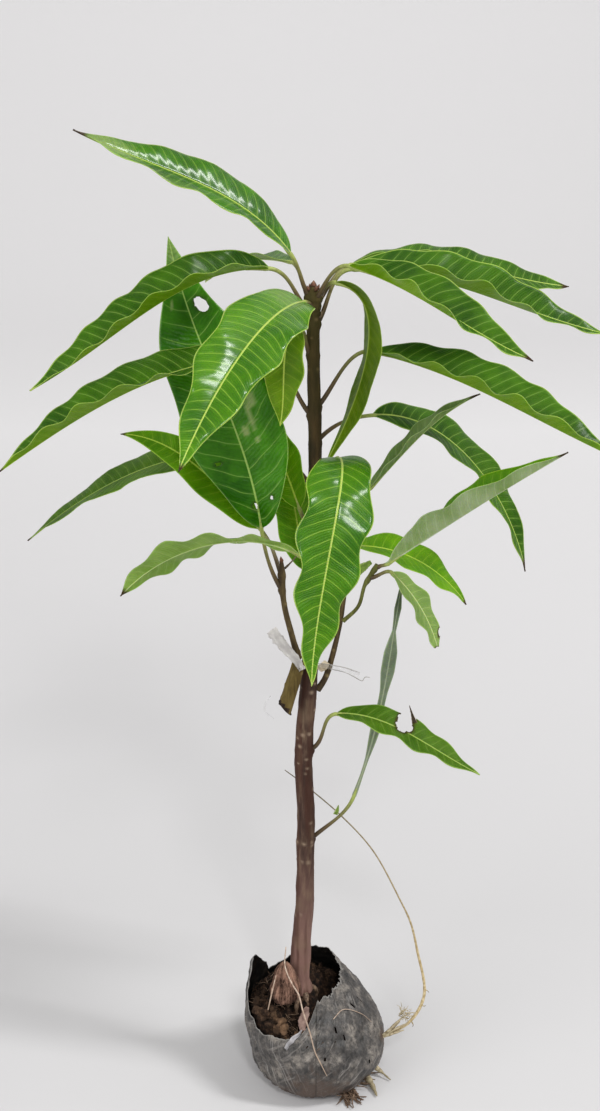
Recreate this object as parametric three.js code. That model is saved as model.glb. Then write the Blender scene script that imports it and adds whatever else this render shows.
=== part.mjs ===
// A grafted mango sapling, about 0.66 m tall, that stands in its torn black nursery bag.
// Millimetres, +Z up. The origin is the centre of the bag's flat underside. +X is the sapling's right
// and +Y its back. An azimuth is measured from +X towards +Y, and a rise is measured up from level.

import * as THREE from 'three';

// ---------------------------------------------------------------- driving dimensions

const CLEARANCE = 0.3;            // gap that neighbours keep between them

const BAG = {
  wall: 1.0,                      // gathered film, dust and soil caked on it
  foot: { radius: 35, z: 0 },     // flat underside
  heel: { radius: 44, z: 9 },
  belly: { radius: 49, z: 29 },
  shoulder: { radius: 3, z: 2 },  // how far it stands out of the straight line up to the torn edge
  columns: 32,
  rows: 8,
};

// Torn edge of the bag: at each azimuth, how far out and how high the film still reaches.
const TORN_EDGE = [
  { azimuth: 0, radius: 19, z: 72 },       // right shoulder, drawn in over the soil
  { azimuth: 45, radius: 26, z: 75 },
  { azimuth: 80, radius: 30, z: 80 },      // back edge, standing up behind the trunk
  { azimuth: 112, radius: 37, z: 76 },
  { azimuth: 145, radius: 43, z: 70 },
  { azimuth: 173, radius: 47, z: 86 },     // loose flap on the left
  { azimuth: 197, radius: 48, z: 70 },
  { azimuth: 222, radius: 48, z: 58 },     // lowest stretch, where the soil lies open
  { azimuth: 250, radius: 45, z: 52 },
  { azimuth: 272, radius: 38, z: 56 },
  { azimuth: 292, radius: 25, z: 64 },
  { azimuth: 325, radius: 17, z: 70 },
];

const SOIL = {
  level: 66,                      // where the trunk stands on it
  footRadius: 13,                 // level patch round the trunk
  edgeDrop: 15,                   // how much lower the soil is at the bag's wall
  tornDrop: 22,                   // and how much lower it is at the open front left
  tornAzimuth: 235,
  clearance: 0.7,                 // between the soil and the film
  wallRows: 6,
  topRows: 3,
};

// Each limb is one tapering piece through a few centres, with its radius at each of them. A first or last
// face that isn't square to the limb has the azimuth and rise it looks along.
const LIMBS = {
  rootstock: {
    sides: 14,
    steps: 22,
    colour: '#5b3a33',
    firstFace: [0, 90],
    path: [
      { x: -12.6, y: 0, z: SOIL.level + CLEARANCE, r: 8.4 },
      { x: -12.4, y: 0, z: 76, r: 7.1 },
      { x: -10.9, y: 0, z: 106, r: 6.8 },
      { x: -8.4, y: 0, z: 148, r: 6.4 },
      { x: -8.1, y: 0, z: 188, r: 6.1 },
      { x: -7.9, y: 0, z: 217, r: 6.0 },
      { x: -9.7, y: 0, z: 246, r: 6.1 },
      { x: -8.8, y: 0, z: 270, r: 6.0 },
      { x: -6.5, y: 0, z: 304, r: 5.9 },
      { x: -4.9, y: 0, z: 330, r: 5.4 },
    ],
  },
  main_stem: {
    sides: 12,
    steps: 22,
    colour: '#4a3a2c',
    path: [
      { x: -4.8, y: 0, z: 330 + CLEARANCE, r: 5.2 },
      { x: -3.2, y: 0, z: 367, r: 4.7 },
      { x: -2.2, y: 0, z: 420, r: 4.3 },
      { x: -2.6, y: 0, z: 471, r: 4.2 },
      { x: -4, y: 0, z: 538, r: 4.0 },
      { x: -4.1, y: 0, z: 565, r: 4.5 },
      { x: -4.1, y: 0, z: 571, r: 1.8 },
    ],
  },
  left_shoot: {
    sides: 8,
    steps: 12,
    colour: '#55472f',
    path: [
      { x: -13.0, y: -7.0, z: 328, r: 2.4 },
      { x: -17.5, y: -8, z: 346, r: 1.9 },
      { x: -22.5, y: -8, z: 368, r: 1.8 },
      { x: -23.6, y: -8, z: 388, r: 2.4 },
      { x: -23.8, y: -8, z: 396, r: 1.0 },
    ],
  },
  right_shoot: {
    sides: 8,
    steps: 12,
    colour: '#4c3b2a',
    firstFace: [0, 0],
    path: [
      { x: -0.2, y: 0.4, z: 302, r: 2.3 },
      { x: 4.6, y: 1, z: 310, r: 2.0 },
      { x: 9.2, y: 2, z: 325, r: 1.8 },
      { x: 13.2, y: 3, z: 343, r: 1.7 },
      { x: 17, y: 6, z: 372, r: 1.7 },
      { x: 16, y: 8, z: 402, r: 1.9 },
      { x: 15.8, y: 8, z: 409, r: 0.9 },
    ],
  },
  right_twig: {
    sides: 8,
    steps: 8,
    colour: '#5f6b35',
    path: [
      { x: 16.4, y: 0.6, z: 351.5, r: 1.5 },
      { x: 26, y: 0, z: 362, r: 1.4 },
      { x: 30.5, y: 0, z: 378, r: 1.4 },
      { x: 38, y: 1, z: 391, r: 1.7 },
    ],
  },
  cut_stub: {
    sides: 12,
    steps: 6,
    colour: '#6b5a37',
    lastFace: [180, -38],           // the slanting cut
    path: [
      { x: -12.6, y: -7.0, z: 326, r: 4.3 },
      { x: -16.6, y: -9.2, z: 312, r: 4.7 },
      { x: -21.8, y: -11.5, z: 295, r: 4.8 },
    ],
  },
};

// Thin trim: the grafting tape's two loose ends and the dry root that has grown out through the film.
const TRIM = {
  grafting_tape_left: {
    steps: 4,
    width: [4.5, 7],
    thickness: [1.0, 1.0],
    colour: '#d8d8d4',
    path: [
      { x: -11.7, y: -12.4, z: 325.5 },
      { x: -20, y: -15, z: 337 },
      { x: -30, y: -16, z: 352 },
    ],
  },
  grafting_tape_right: {
    steps: 5,
    width: [5, 3],
    thickness: [1.0, 1.0],
    colour: '#d8d8d4',
    path: [
      { x: -3, y: -5.9, z: 322.5 },
      { x: 8, y: -6.6, z: 321.5 },
      { x: 18, y: -7, z: 319.5 },
      { x: 32, y: -6, z: 311 },
    ],
  },
  dry_root: {
    steps: 30,
    width: [2.2, 1.0],
    thickness: [2.0, 1.0],
    colour: '#a8925a',
    path: [
      { x: 48.3, y: -7.7, z: 31 },
      { x: 67, y: -6, z: 42 },
      { x: 77.5, y: 0, z: 60 },
      { x: 72, y: 5, z: 95 },
      { x: 67, y: 8, z: 116 },
      { x: 59, y: 10, z: 134 },
      { x: 39, y: 12, z: 173 },
      { x: 16, y: 14, z: 200 },
      { x: -10, y: 15, z: 224 },
      { x: -22.5, y: 14, z: 235 },
    ],
  },
};

// Leaves, each set out by azimuths and rises in degrees and by places measured from where it starts.
//   at      height on its limb                  leave   direction in which the stalk leaves the limb
//   foot    reach, azimuth and lift of the blade's foot      set     direction of the midrib there
//   tip     reach, azimuth and lift of the blade's tip       arrive  direction of the midrib there
//   roll    turn of the blade about its midrib from foot to tip; below 0 lifts its right-hand margin
//   fold    how far each half of the blade is raised from flat, like a V, from foot to tip
const LEAVES = [
  // whorl round the top bud
  { name: 'crown_leaf_high_left', limb: 'main_stem', at: 566, leave: [200, 60], foot: [11, 208, 26],
    set: [200, 53], tip: [138, 200, 100], arrive: [200, 28], width: 36, roll: [-38, -34], fold: [16, 16] },
  { name: 'crown_leaf_left', limb: 'main_stem', at: 556, leave: [200, 50], foot: [26, 209, 28],
    set: [203, 6], tip: [172, 202, -34], arrive: [202, -24], width: 38, roll: [-31, -2, -22], fold: [52, 37, 40] },
  { name: 'crown_leaf_back_left', limb: 'main_stem', at: 561, leave: [125, 46], foot: [18, 127, 22],
    set: [124, 0], tip: [114, 127, -3], arrive: [127, -34], width: 32, roll: [4, 0], fold: [14, 14] },
  { name: 'crown_leaf_front', limb: 'main_stem', at: 560, leave: [254, 24], foot: [16, 253, 5],
    set: [250, 8], tip: [162, 244, -62], arrive: [240, -48], width: 43, roll: [-26, -18], fold: [6, 6] },
  { name: 'crown_leaf_front_right', limb: 'main_stem', at: 564, leave: [312, 54], foot: [21, 334, 21],
    set: [332, -11], tip: [140, 330, -23], arrive: [332, -17], width: 38, roll: [2, 9, 19], fold: [44, 39, 13] },
  { name: 'crown_leaf_right', limb: 'main_stem', at: 549, leave: [12, 58], foot: [21, 20, 31],
    set: [3, 0], tip: [179, 4, -10], arrive: [2, -13], width: 39, roll: [8, 24, 33], fold: [46, 50, 12] },
  { name: 'crown_leaf_back_right', limb: 'main_stem', at: 560, leave: [40, 44], foot: [29, 42, 21],
    set: [28, 8], tip: [188, 27, -4], arrive: [26, -8], width: 38, roll: [-17, 15, 45], fold: [21, 20, 4] },
  { name: 'crown_leaf_hanging', limb: 'main_stem', at: 565, leave: [356, 54], foot: [10, 334, 9],
    set: [350, -8], tip: [9, 286, -105], arrive: [190, -60], width: 30, roll: [-25, -30], fold: [8, 8] },
  // leaves down the main stem
  { name: 'stem_leaf_hanging_left', limb: 'main_stem', at: 530, leave: [220, 60], foot: [9, 236, 16],
    set: [230, 8], tip: [37, 243, -37], arrive: [236, -66], width: 26, roll: [-20, -20], fold: [8, 8] },
  { name: 'stem_leaf_right_high', limb: 'main_stem', at: 497, leave: [14, 50], foot: [34, 12, 32],
    set: [348, -11], tip: [183, 347, -23], arrive: [346, -22], width: 46, roll: [8, 9, 15], fold: [27, 36, 58] },
  { name: 'stem_leaf_left', limb: 'main_stem', at: 492, leave: [196, 50], foot: [29, 198, 37],
    set: [196, 3], tip: [192, 195, -24], arrive: [195, -33], width: 41, roll: [-19, -4, 1], fold: [10, 31, 56] },
  { name: 'stem_leaf_right_low', limb: 'main_stem', at: 474, leave: [46, 30], foot: [44, 37, 9],
    set: [27, -3], tip: [153, 21, -109], arrive: [17, -76], width: 34, roll: [34, 34], fold: [8, 8] },
  { name: 'stem_leaf_front', limb: 'main_stem', at: 446, leave: [295, 56], foot: [27, 295, 25],
    set: [282, 20], tip: [92, 267, -97], arrive: [266, -86], width: 41, roll: [0, 0], fold: [6, 6],
    widest: 0.36 },
  { name: 'stem_leaf_left_low', limb: 'main_stem', at: 436, leave: [105, 40], foot: [38, 141, 21],
    set: [162, 2], tip: [216, 158, -58], arrive: [158, -40], width: 36, roll: [-20, -20], fold: [8, 8] },
  { name: 'stem_leaf_left_under', limb: 'main_stem', at: 386, leave: [245, 56], foot: [18, 251, 18],
    set: [190, 37], tip: [125, 198, 0], arrive: [190, -49], width: 33, roll: [55, 24, 50, 56],
    fold: [4, 4], widest: 0.6 },
  { name: 'stem_leaf_back_upper', limb: 'main_stem', at: 416, leave: [165, 40], foot: [6, 165, 13],
    set: [150, 68], tip: [33, 160, 84], arrive: [158, 72], width: 25, roll: [-75, -75], fold: [6, 6] },
  { name: 'stem_leaf_back_lower', limb: 'main_stem', at: 366, leave: [110, 50], foot: [12, 108, 16],
    set: [135, 72], tip: [44, 124, 90], arrive: [150, 50], width: 28, roll: [-60, -60], fold: [6, 6] },
  // the left shoot
  { name: 'left_shoot_leaf_tall', limb: 'left_shoot', at: 378, leave: [190, 62], foot: [11, 190, 42],
    set: [172, 83], tip: [70, 162, 221], arrive: [170, 80], width: 62, roll: [-96, -62], fold: [5, 5],
    tipPower: 0.9 },
  { name: 'left_shoot_leaf_out', limb: 'left_shoot', at: 388, leave: [128, 58], foot: [19, 135, 26],
    set: [161, 43], tip: [108, 162, 83], arrive: [166, -2], width: 26, roll: [-60, -45], fold: [8, 8] },
  // the right shoot and its twig
  { name: 'right_shoot_leaf_up', limb: 'right_shoot', at: 402, leave: [358, 50], foot: [14, 358, 38],
    set: [2, 47], tip: [83, 1, 100], arrive: [2, 24], width: 20, roll: [0, 0], fold: [30, 30] },
  { name: 'right_shoot_leaf_out', limb: 'right_shoot', at: 394, leave: [40, 40], foot: [10, 48, 4],
    set: [27, -8], tip: [92, 24, -49], arrive: [23, -56], width: 28, roll: [22, 22], fold: [8, 8] },
  { name: 'right_twig_leaf_long', limb: 'right_twig', at: 389, leave: [350, 45], foot: [5, 343, 3],
    set: [338, 41], tip: [118, 338, 90], arrive: [338, 28], width: 36, roll: [-40, 10], fold: [8, 8] },
  { name: 'right_twig_leaf_low', limb: 'right_twig', at: 382, leave: [350, 10], foot: [13, 5, 3],
    set: [5, -46], tip: [46, 7, -57], arrive: [5, -76], width: 16, roll: [10, 10], fold: [8, 8] },
  // old leaves on the rootstock
  { name: 'rootstock_leaf_torn', limb: 'rootstock', at: 259, leave: [350, 30], foot: [17, 340, 29],
    set: [343, 10], tip: [114, 343, -2], arrive: [343, -21], width: 26, roll: [14, 16], fold: [12, 12] },
  { name: 'rootstock_leaf_narrow', limb: 'rootstock', at: 190, leave: [10, 40], foot: [27, 4, 31],
    set: [14, 70], tip: [58, 11, 186], arrive: [14, 82], width: 10, roll: [60, 100],
    fold: [10, 10], widest: 0.6 },
];

const LEAF = {
  stalkRadius: [1.6, 1.15, 1.35],   // at the limb, halfway and under the blade
  stalkSteps: 5,
  bladeSteps: 11,
  widest: 0.42,                     // share of the blade's length at which it is widest
  footPower: 0.7,                   // lower powers fill the blade's outline out at its two ends
  tipPower: 0.95,
  thicknessShare: 0.011,            // of the leaf's length
  thinnest: 1.5,
  baseWidth: 3.2,
  tipWidth: 1.2,
  reach: 0.36,                      // how far each end's direction holds, as a share of the chord
  across: [1, 0.5, 0, -0.5, -1],    // points across a section, from the right margin to the left
  colour: '#2f6b1f',
};

// ---------------------------------------------------------------- helpers

const degrees = (angle) => THREE.MathUtils.degToRad(angle);

// Unit vector at an azimuth and a rise.
function heading(azimuth, rise) {
  const level = Math.cos(degrees(rise));
  return new THREE.Vector3(
    level * Math.cos(degrees(azimuth)),
    level * Math.sin(degrees(azimuth)),
    Math.sin(degrees(rise)),
  );
}

// A closed body through rings that have the same number of points, with a fan over each end.
function loft(rings) {
  const count = rings[0].length;
  const points = rings.flat();
  const faces = [];
  for (let ring = 0; ring + 1 < rings.length; ring += 1) {
    for (let side = 0; side < count; side += 1) {
      const next = (side + 1) % count;
      const a = ring * count + side;
      const b = ring * count + next;
      faces.push(a, b, b + count);
      faces.push(a, b + count, a + count);
    }
  }
  const caps = [
    { ring: rings[0], first: 0, outward: -1 },
    { ring: rings.at(-1), first: (rings.length - 1) * count, outward: 1 },
  ];
  for (const cap of caps) {
    const middle = points.length;
    points.push(cap.ring.reduce((sum, p) => sum.add(p), new THREE.Vector3()).divideScalar(count));
    for (let side = 0; side < count; side += 1) {
      const a = cap.first + side;
      const b = cap.first + (side + 1) % count;
      faces.push(...(cap.outward > 0 ? [a, b, middle] : [b, a, middle]));
    }
  }
  return solid(points, faces);
}

function solid(points, faces) {
  const geometry = new THREE.BufferGeometry().setFromPoints(points);
  geometry.setIndex(faces);
  geometry.computeVertexNormals();
  return geometry;
}

function piece(name, geometry, colour, roughness) {
  const material = new THREE.MeshStandardMaterial({ color: colour, roughness, metalness: 0 });
  const mesh = new THREE.Mesh(geometry, material);
  mesh.name = name;
  return mesh;
}

// ---------------------------------------------------------------- limbs

// Centre, radius and direction of a limb at a share of its length.
function limbAt(limb, share) {
  const curve = new THREE.CatmullRomCurve3(limb.path.map((p) => new THREE.Vector3(p.x, p.y, p.z)));
  const radius = valueAlong(limb.path.map((p) => p.r), share);
  return { centre: curve.getPoint(share), direction: curve.getTangent(share), radius };
}

// The same at a height, found by halving, since every limb here climbs or falls all the way.
function limbAtHeight(limb, z) {
  const climbs = limb.path.at(-1).z > limb.path[0].z;
  let low = 0;
  let high = 1;
  for (let pass = 0; pass < 30; pass += 1) {
    const middle = (low + high) / 2;
    const below = limbAt(limb, middle).centre.z < z;
    if (below === climbs) {
      low = middle;
    } else {
      high = middle;
    }
  }
  return limbAt(limb, low);
}

function ringAcross(centre, direction, radius, sides) {
  const side = new THREE.Vector3(0, 1, 0).cross(direction).normalize();
  const front = direction.clone().cross(side);
  return Array.from({ length: sides }, (_, index) => {
    const turn = (2 * Math.PI * index) / sides;
    return centre.clone()
      .addScaledVector(side, radius * Math.cos(turn))
      .addScaledVector(front, radius * Math.sin(turn));
  });
}

// A ring slid along the limb onto a plane through its centre.
function slideOnto(ring, centre, direction, normal) {
  return ring.map((point) => {
    const distance = centre.clone().sub(point).dot(normal) / direction.dot(normal);
    return point.addScaledVector(direction, distance);
  });
}

function limbBody(limb) {
  const rings = [];
  for (let step = 0; step <= limb.steps; step += 1) {
    const { centre, direction, radius } = limbAt(limb, step / limb.steps);
    const ring = ringAcross(centre, direction, radius, limb.sides);
    const face = { 0: limb.firstFace, [limb.steps]: limb.lastFace }[step];
    rings.push(face ? slideOnto(ring, centre, direction, heading(...face)) : ring);
  }
  return loft(rings);
}

// ---------------------------------------------------------------- leaves

// Share of the greatest width at a share of the blade's length: narrow foot, drawn-out tip.
function bladeOutline(share, widest, tipPower) {
  const bend = Math.log(0.5) / Math.log(widest);
  return Math.sin(Math.PI * share ** bend) ** THREE.MathUtils.lerp(LEAF.footPower, tipPower, share);
}

// Value at a share of the way along values that are evenly spread.
function valueAlong(values, share) {
  const place = share * (values.length - 1);
  const index = Math.min(Math.floor(place), values.length - 2);
  return THREE.MathUtils.lerp(values[index], values[index + 1], place - index);
}

// A smooth curve that leaves one point in one direction and reaches another in another.
function arc(from, leave, to, arrive) {
  const handle = from.distanceTo(to) * LEAF.reach;
  return new THREE.CubicBezierCurve3(
    from,
    from.clone().addScaledVector(heading(...leave), handle),
    to.clone().addScaledVector(heading(...arrive), -handle),
    to,
  );
}

function offsetBy(start, [reach, azimuth, lift]) {
  const point = start.clone().addScaledVector(heading(azimuth, 0), reach);
  point.z += lift;
  return point;
}

function leafBody(leaf) {
  const limb = limbAtHeight(LIMBS[leaf.limb], leaf.at);
  const outward = heading(leaf.leave[0], 0);
  // A leaning limb reaches out under or over the stalk's upright end, so the end stands off further.
  const lean = Math.abs(limb.direction.dot(outward)) / limb.direction.z;
  const surface = limb.radius * Math.hypot(1, lean) + LEAF.stalkRadius[0] * lean;
  const start = limb.centre.clone().addScaledVector(outward, surface + CLEARANCE);
  const foot = offsetBy(start, leaf.foot);
  const stalk = arc(start, leaf.leave, foot, leaf.set);
  const blade = arc(foot, leaf.set, offsetBy(start, leaf.tip), leaf.arrive);
  const halfThickness = Math.max(LEAF.thinnest, LEAF.thicknessShare * blade.getLength()) / 2;
  const level = heading(leaf.set[0] - 90, 0);

  const frame = (curve, share, roll) => {
    const direction = curve.getTangentAt(share);
    const right = level.clone().addScaledVector(direction, -level.dot(direction)).normalize();
    right.applyAxisAngle(direction, degrees(roll));
    return { centre: curve.getPointAt(share), right, up: right.clone().cross(direction) };
  };

  const rings = [];
  const sides = 2 * LEAF.across.length;
  for (let step = 0; step <= LEAF.stalkSteps; step += 1) {
    const share = step / LEAF.stalkSteps;
    const radius = valueAlong(LEAF.stalkRadius, share);
    const { centre, right, up } = frame(stalk, share, leaf.roll[0] * share);
    if (step === 0) {
      up.set(0, 0, 1);
      right.copy(outward).cross(up).normalize();
    }
    rings.push(Array.from({ length: sides }, (_, index) => {
      const turn = (2 * Math.PI * (index + 0.5)) / sides;
      return centre.clone()
        .addScaledVector(right, radius * Math.cos(turn))
        .addScaledVector(up, radius * Math.sin(turn));
    }).reverse());
  }

  // Each section of the blade runs underneath from right to left and back on top.
  for (let step = 1; step <= LEAF.bladeSteps; step += 1) {
    const share = step / LEAF.bladeSteps;
    const { centre, right, up } = frame(blade, share, valueAlong(leaf.roll, share));
    const narrowest = THREE.MathUtils.lerp(LEAF.baseWidth, LEAF.tipWidth, share) / 2;
    const outline = bladeOutline(share, leaf.widest ?? LEAF.widest, leaf.tipPower ?? LEAF.tipPower);
    const half = Math.max(narrowest, (leaf.width / 2) * outline);
    const fold = degrees(valueAlong(leaf.fold, share));
    const point = (t, side) => centre.clone()
      .addScaledVector(right, half * t * Math.cos(fold))
      .addScaledVector(up, half * Math.abs(t) * Math.sin(fold) + side * halfThickness / Math.cos(fold));
    rings.push([
      ...LEAF.across.map((t) => point(t, -1)),
      ...LEAF.across.toReversed().map((t) => point(t, 1)),
    ]);
  }
  return loft(rings);
}

// ---------------------------------------------------------------- bag and soil

// Smooth value of the torn edge at an azimuth.
function tornEdge(azimuth) {
  const turn = ((azimuth % 360) + 360) % 360;
  const count = TORN_EDGE.length;
  let index = count - 1;
  while (index > 0 && TORN_EDGE[index].azimuth > turn) {
    index -= 1;
  }
  const from = TORN_EDGE[index];
  const to = TORN_EDGE[(index + 1) % count];
  const span = (to.azimuth - from.azimuth + 360) % 360;
  const share = THREE.MathUtils.smoothstep((turn - from.azimuth) / span, 0, 1);
  return {
    radius: THREE.MathUtils.lerp(from.radius, to.radius, share),
    z: THREE.MathUtils.lerp(from.z, to.z, share),
  };
}

function cylindrical(radius, azimuth, z) {
  return new THREE.Vector3(radius * Math.cos(degrees(azimuth)), radius * Math.sin(degrees(azimuth)), z);
}

// A point of the bag's wall, a share of the way up from the underside to the torn edge and some depth
// in from the outside.
function wallPoint(azimuth, share, depth) {
  const edge = tornEdge(azimuth);
  const shoulderRadius = (BAG.belly.radius + edge.radius) / 2 + BAG.shoulder.radius;
  const curve = new THREE.CatmullRomCurve3([
    cylindrical(BAG.foot.radius, azimuth, BAG.foot.z),
    cylindrical(BAG.heel.radius, azimuth, BAG.heel.z),
    cylindrical(BAG.belly.radius, azimuth, BAG.belly.z),
    cylindrical(shoulderRadius, azimuth, (BAG.belly.z + edge.z) / 2 + BAG.shoulder.z),
    cylindrical(edge.radius, azimuth, edge.z),
  ]);
  const inward = curve.getTangent(share).cross(heading(azimuth + 90, 0)).normalize();
  return curve.getPoint(share).addScaledVector(inward, depth);
}

function eachColumn(place) {
  return Array.from({ length: BAG.columns }, (_, column) => place((360 * column) / BAG.columns));
}

function bagBody() {
  const outer = [];
  const inner = [];
  for (let row = 0; row <= BAG.rows; row += 1) {
    outer.push(eachColumn((azimuth) => wallPoint(azimuth, row / BAG.rows, 0)));
    inner.push(eachColumn((azimuth) => wallPoint(azimuth, row / BAG.rows, BAG.wall)));
  }
  for (const point of inner[0]) {
    point.z = BAG.wall;
  }
  return loft([...outer, ...inner.toReversed()]);
}

// The root ball: fills the bag up to the soil's own level, clear of the film all round.
function soilBody() {
  const depth = BAG.wall + SOIL.clearance;
  const foot = limbAt(LIMBS.rootstock, 0).centre.setZ(0);
  const edgeZ = (azimuth) => {
    const openness = Math.max(0, Math.cos(degrees(azimuth - SOIL.tornAzimuth)));
    return SOIL.level - THREE.MathUtils.lerp(SOIL.edgeDrop, SOIL.tornDrop, openness);
  };
  const rings = [];
  for (let row = 0; row <= SOIL.wallRows; row += 1) {
    rings.push(eachColumn((azimuth) => {
      const z = THREE.MathUtils.lerp(2 * depth, edgeZ(azimuth), row / SOIL.wallRows);
      return insideWallAtHeight(azimuth, z, depth);
    }));
  }
  const edge = rings.at(-1);
  const patch = eachColumn((azimuth) => cylindrical(SOIL.footRadius, azimuth, SOIL.level).add(foot));
  for (let row = 1; row <= SOIL.topRows; row += 1) {
    rings.push(edge.map((point, column) => point.clone().lerp(patch[column], row / SOIL.topRows)));
  }
  return loft(rings);
}

// The point at a height on the wall's rows, some depth in from the outside.
function insideWallAtHeight(azimuth, z, depth) {
  let below = wallPoint(azimuth, 0, depth);
  let above = below;
  for (let row = 1; above.z < z; row += 1) {
    below = above;
    above = wallPoint(azimuth, row / BAG.rows, depth);
  }
  return below.clone().lerp(above, (z - below.z) / (above.z - below.z));
}

// ---------------------------------------------------------------- thin trim

// A closed strip along a few points: a tape or a root. Width and thickness taper from end to end.
function stripBody(trim) {
  const curve = new THREE.CatmullRomCurve3(trim.path.map((p) => new THREE.Vector3(p.x, p.y, p.z)));
  const rings = [];
  for (let step = 0; step <= trim.steps; step += 1) {
    const share = step / trim.steps;
    const direction = curve.getTangentAt(share);
    const side = new THREE.Vector3(0, 1, 0).cross(direction).normalize();
    const front = direction.clone().cross(side);
    const half = THREE.MathUtils.lerp(trim.width[0], trim.width[1], share) / 2;
    const thick = THREE.MathUtils.lerp(trim.thickness[0], trim.thickness[1], share) / 2;
    const corners = [[1, -1], [1, 1], [-1, 1], [-1, -1]];
    rings.push(corners.map(([a, b]) => curve.getPointAt(share)
      .addScaledVector(side, half * a)
      .addScaledVector(front, thick * b)));
  }
  return loft(rings);
}

// ---------------------------------------------------------------- the sapling

const sapling = new THREE.Group();

for (const [name, limb] of Object.entries(LIMBS)) {
  sapling.add(piece(name, limbBody(limb), limb.colour, 0.85));
}
for (const leaf of LEAVES) {
  sapling.add(piece(leaf.name, leafBody(leaf), LEAF.colour, 0.45));
}
for (const [name, trim] of Object.entries(TRIM)) {
  sapling.add(piece(name, stripBody(trim), trim.colour, 0.7));
}
sapling.add(piece('nursery_bag', bagBody(), '#3b3a38', 0.6));
sapling.add(piece('root_ball', soilBody(), '#4a3324', 1));

export default sapling;
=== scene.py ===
# %% [markdown]
# # A grafted mango sapling in a torn nursery bag
# The imported model is the frame: every trunk, leaf, tape and root below stands exactly where that model has
# it, only with its bark, veins, folds and tears. We load it first.

# %% Load the imported model
import math
import random
from bisect import bisect_right

import bmesh
import bpy
from mathutils import Matrix, Vector, noise


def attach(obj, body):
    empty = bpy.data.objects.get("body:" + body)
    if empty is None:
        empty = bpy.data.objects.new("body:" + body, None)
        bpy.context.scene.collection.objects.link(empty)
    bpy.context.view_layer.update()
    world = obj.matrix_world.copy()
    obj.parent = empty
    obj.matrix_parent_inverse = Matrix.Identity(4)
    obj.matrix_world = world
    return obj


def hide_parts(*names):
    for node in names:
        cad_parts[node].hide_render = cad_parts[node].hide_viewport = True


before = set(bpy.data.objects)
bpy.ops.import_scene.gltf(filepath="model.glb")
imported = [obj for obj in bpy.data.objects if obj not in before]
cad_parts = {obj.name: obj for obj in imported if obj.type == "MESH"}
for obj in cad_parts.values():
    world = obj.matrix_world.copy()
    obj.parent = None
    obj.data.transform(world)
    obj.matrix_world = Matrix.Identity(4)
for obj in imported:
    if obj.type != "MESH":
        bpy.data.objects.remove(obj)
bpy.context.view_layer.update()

# %% [markdown]
# ## The camera
# The picture looks down on the sapling from a bit above its crown. It is set first, at real distances.

# %% Camera
MM = 0.001  # the script's sizes are millimetres, and a finished mesh is scaled to metres
CAMERA_PLACE = Vector((-12, -912, 724))
CAMERA_PITCH = 19.7  # degrees below level
SENSOR = 36  # mm, the long side of the picture
LENS = 48.6  # mm

camera = bpy.data.objects.new("camera", bpy.data.cameras.new("camera"))
camera.data.lens = LENS
camera.data.sensor_width = SENSOR
camera.location = CAMERA_PLACE * MM
camera.rotation_euler = (math.radians(90 - CAMERA_PITCH), 0, 0)
bpy.context.collection.objects.link(camera)
bpy.context.scene.camera = camera
print("camera at", [round(v, 3) for v in camera.location])

# %% [markdown]
# ## Small tools for numbers and curves
# A limb is a smooth curve through a few centres, so it needs a Catmull-Rom curve: one that passes through
# its points. A leaf leaves its limb in one direction and ends in another, which is what a Bezier arc does.
# Both are plain functions from a share of the way, 0 to 1, to a place. `even` turns such a function into
# one that moves along the curve at an even pace, and `halve` finds the share where a curve passes a height.

# %% Numbers and curves
def mix(first, second, share):
    return first + (second - first) * share


def smooth(low, high, value):
    """0 below low, 1 above high, and a soft step between. It also runs downwards where low is the larger."""
    share = min(max((value - low) / (high - low), 0.0), 1.0)
    return share * share * (3 - 2 * share)


def hump(distance, reach):
    """1 at no distance, falling off like a bell over the reach."""
    return math.exp(-((distance / reach) ** 2))


def value_along(values, share):
    place = share * (len(values) - 1)
    index = min(max(int(place), 0), len(values) - 2)
    return mix(values[index], values[index + 1], place - index)


def heading(azimuth, rise=0.0):
    """Unit vector at an azimuth and a rise in degrees."""
    turn, tilt = math.radians(azimuth), math.radians(rise)
    return Vector((math.cos(tilt) * math.cos(turn), math.cos(tilt) * math.sin(turn), math.sin(tilt)))


def through(points):
    """A centripetal Catmull-Rom curve through the points."""
    points = [Vector(p) for p in points]
    last = len(points) - 1

    def curve(share):
        index = min(max(int(share * last), 0), last - 1)
        weight = share * last - index
        start, end = points[index], points[index + 1]
        before = points[index - 1] if index > 0 else 2 * start - end
        after = points[index + 2] if index + 2 <= last else 2 * end - start
        gaps = [math.sqrt((b - a).length) for a, b in ((before, start), (start, end), (end, after))]
        leave = (start - before) / gaps[0] - (end - before) / (gaps[0] + gaps[1]) + (end - start) / gaps[1]
        reach = (end - start) / gaps[1] - (after - start) / (gaps[1] + gaps[2]) + (after - end) / gaps[2]
        leave, reach = leave * gaps[1], reach * gaps[1]
        square, cube = weight**2, weight**3
        return (
            start * (2 * cube - 3 * square + 1)
            + leave * (cube - 2 * square + weight)
            + end * (3 * square - 2 * cube)
            + reach * (cube - square)
        )

    return curve


def arc(start, leave, end, arrive, reach=0.36):
    """A Bezier arc whose ends hold their directions for a share of the chord."""
    handle = (end - start).length * reach
    first = start + heading(*leave) * handle
    second = end - heading(*arrive) * handle

    def curve(share):
        rest = 1 - share
        return (
            start * rest**3 + first * 3 * rest**2 * share + second * 3 * rest * share**2 + end * share**3
        )

    return curve


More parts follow.
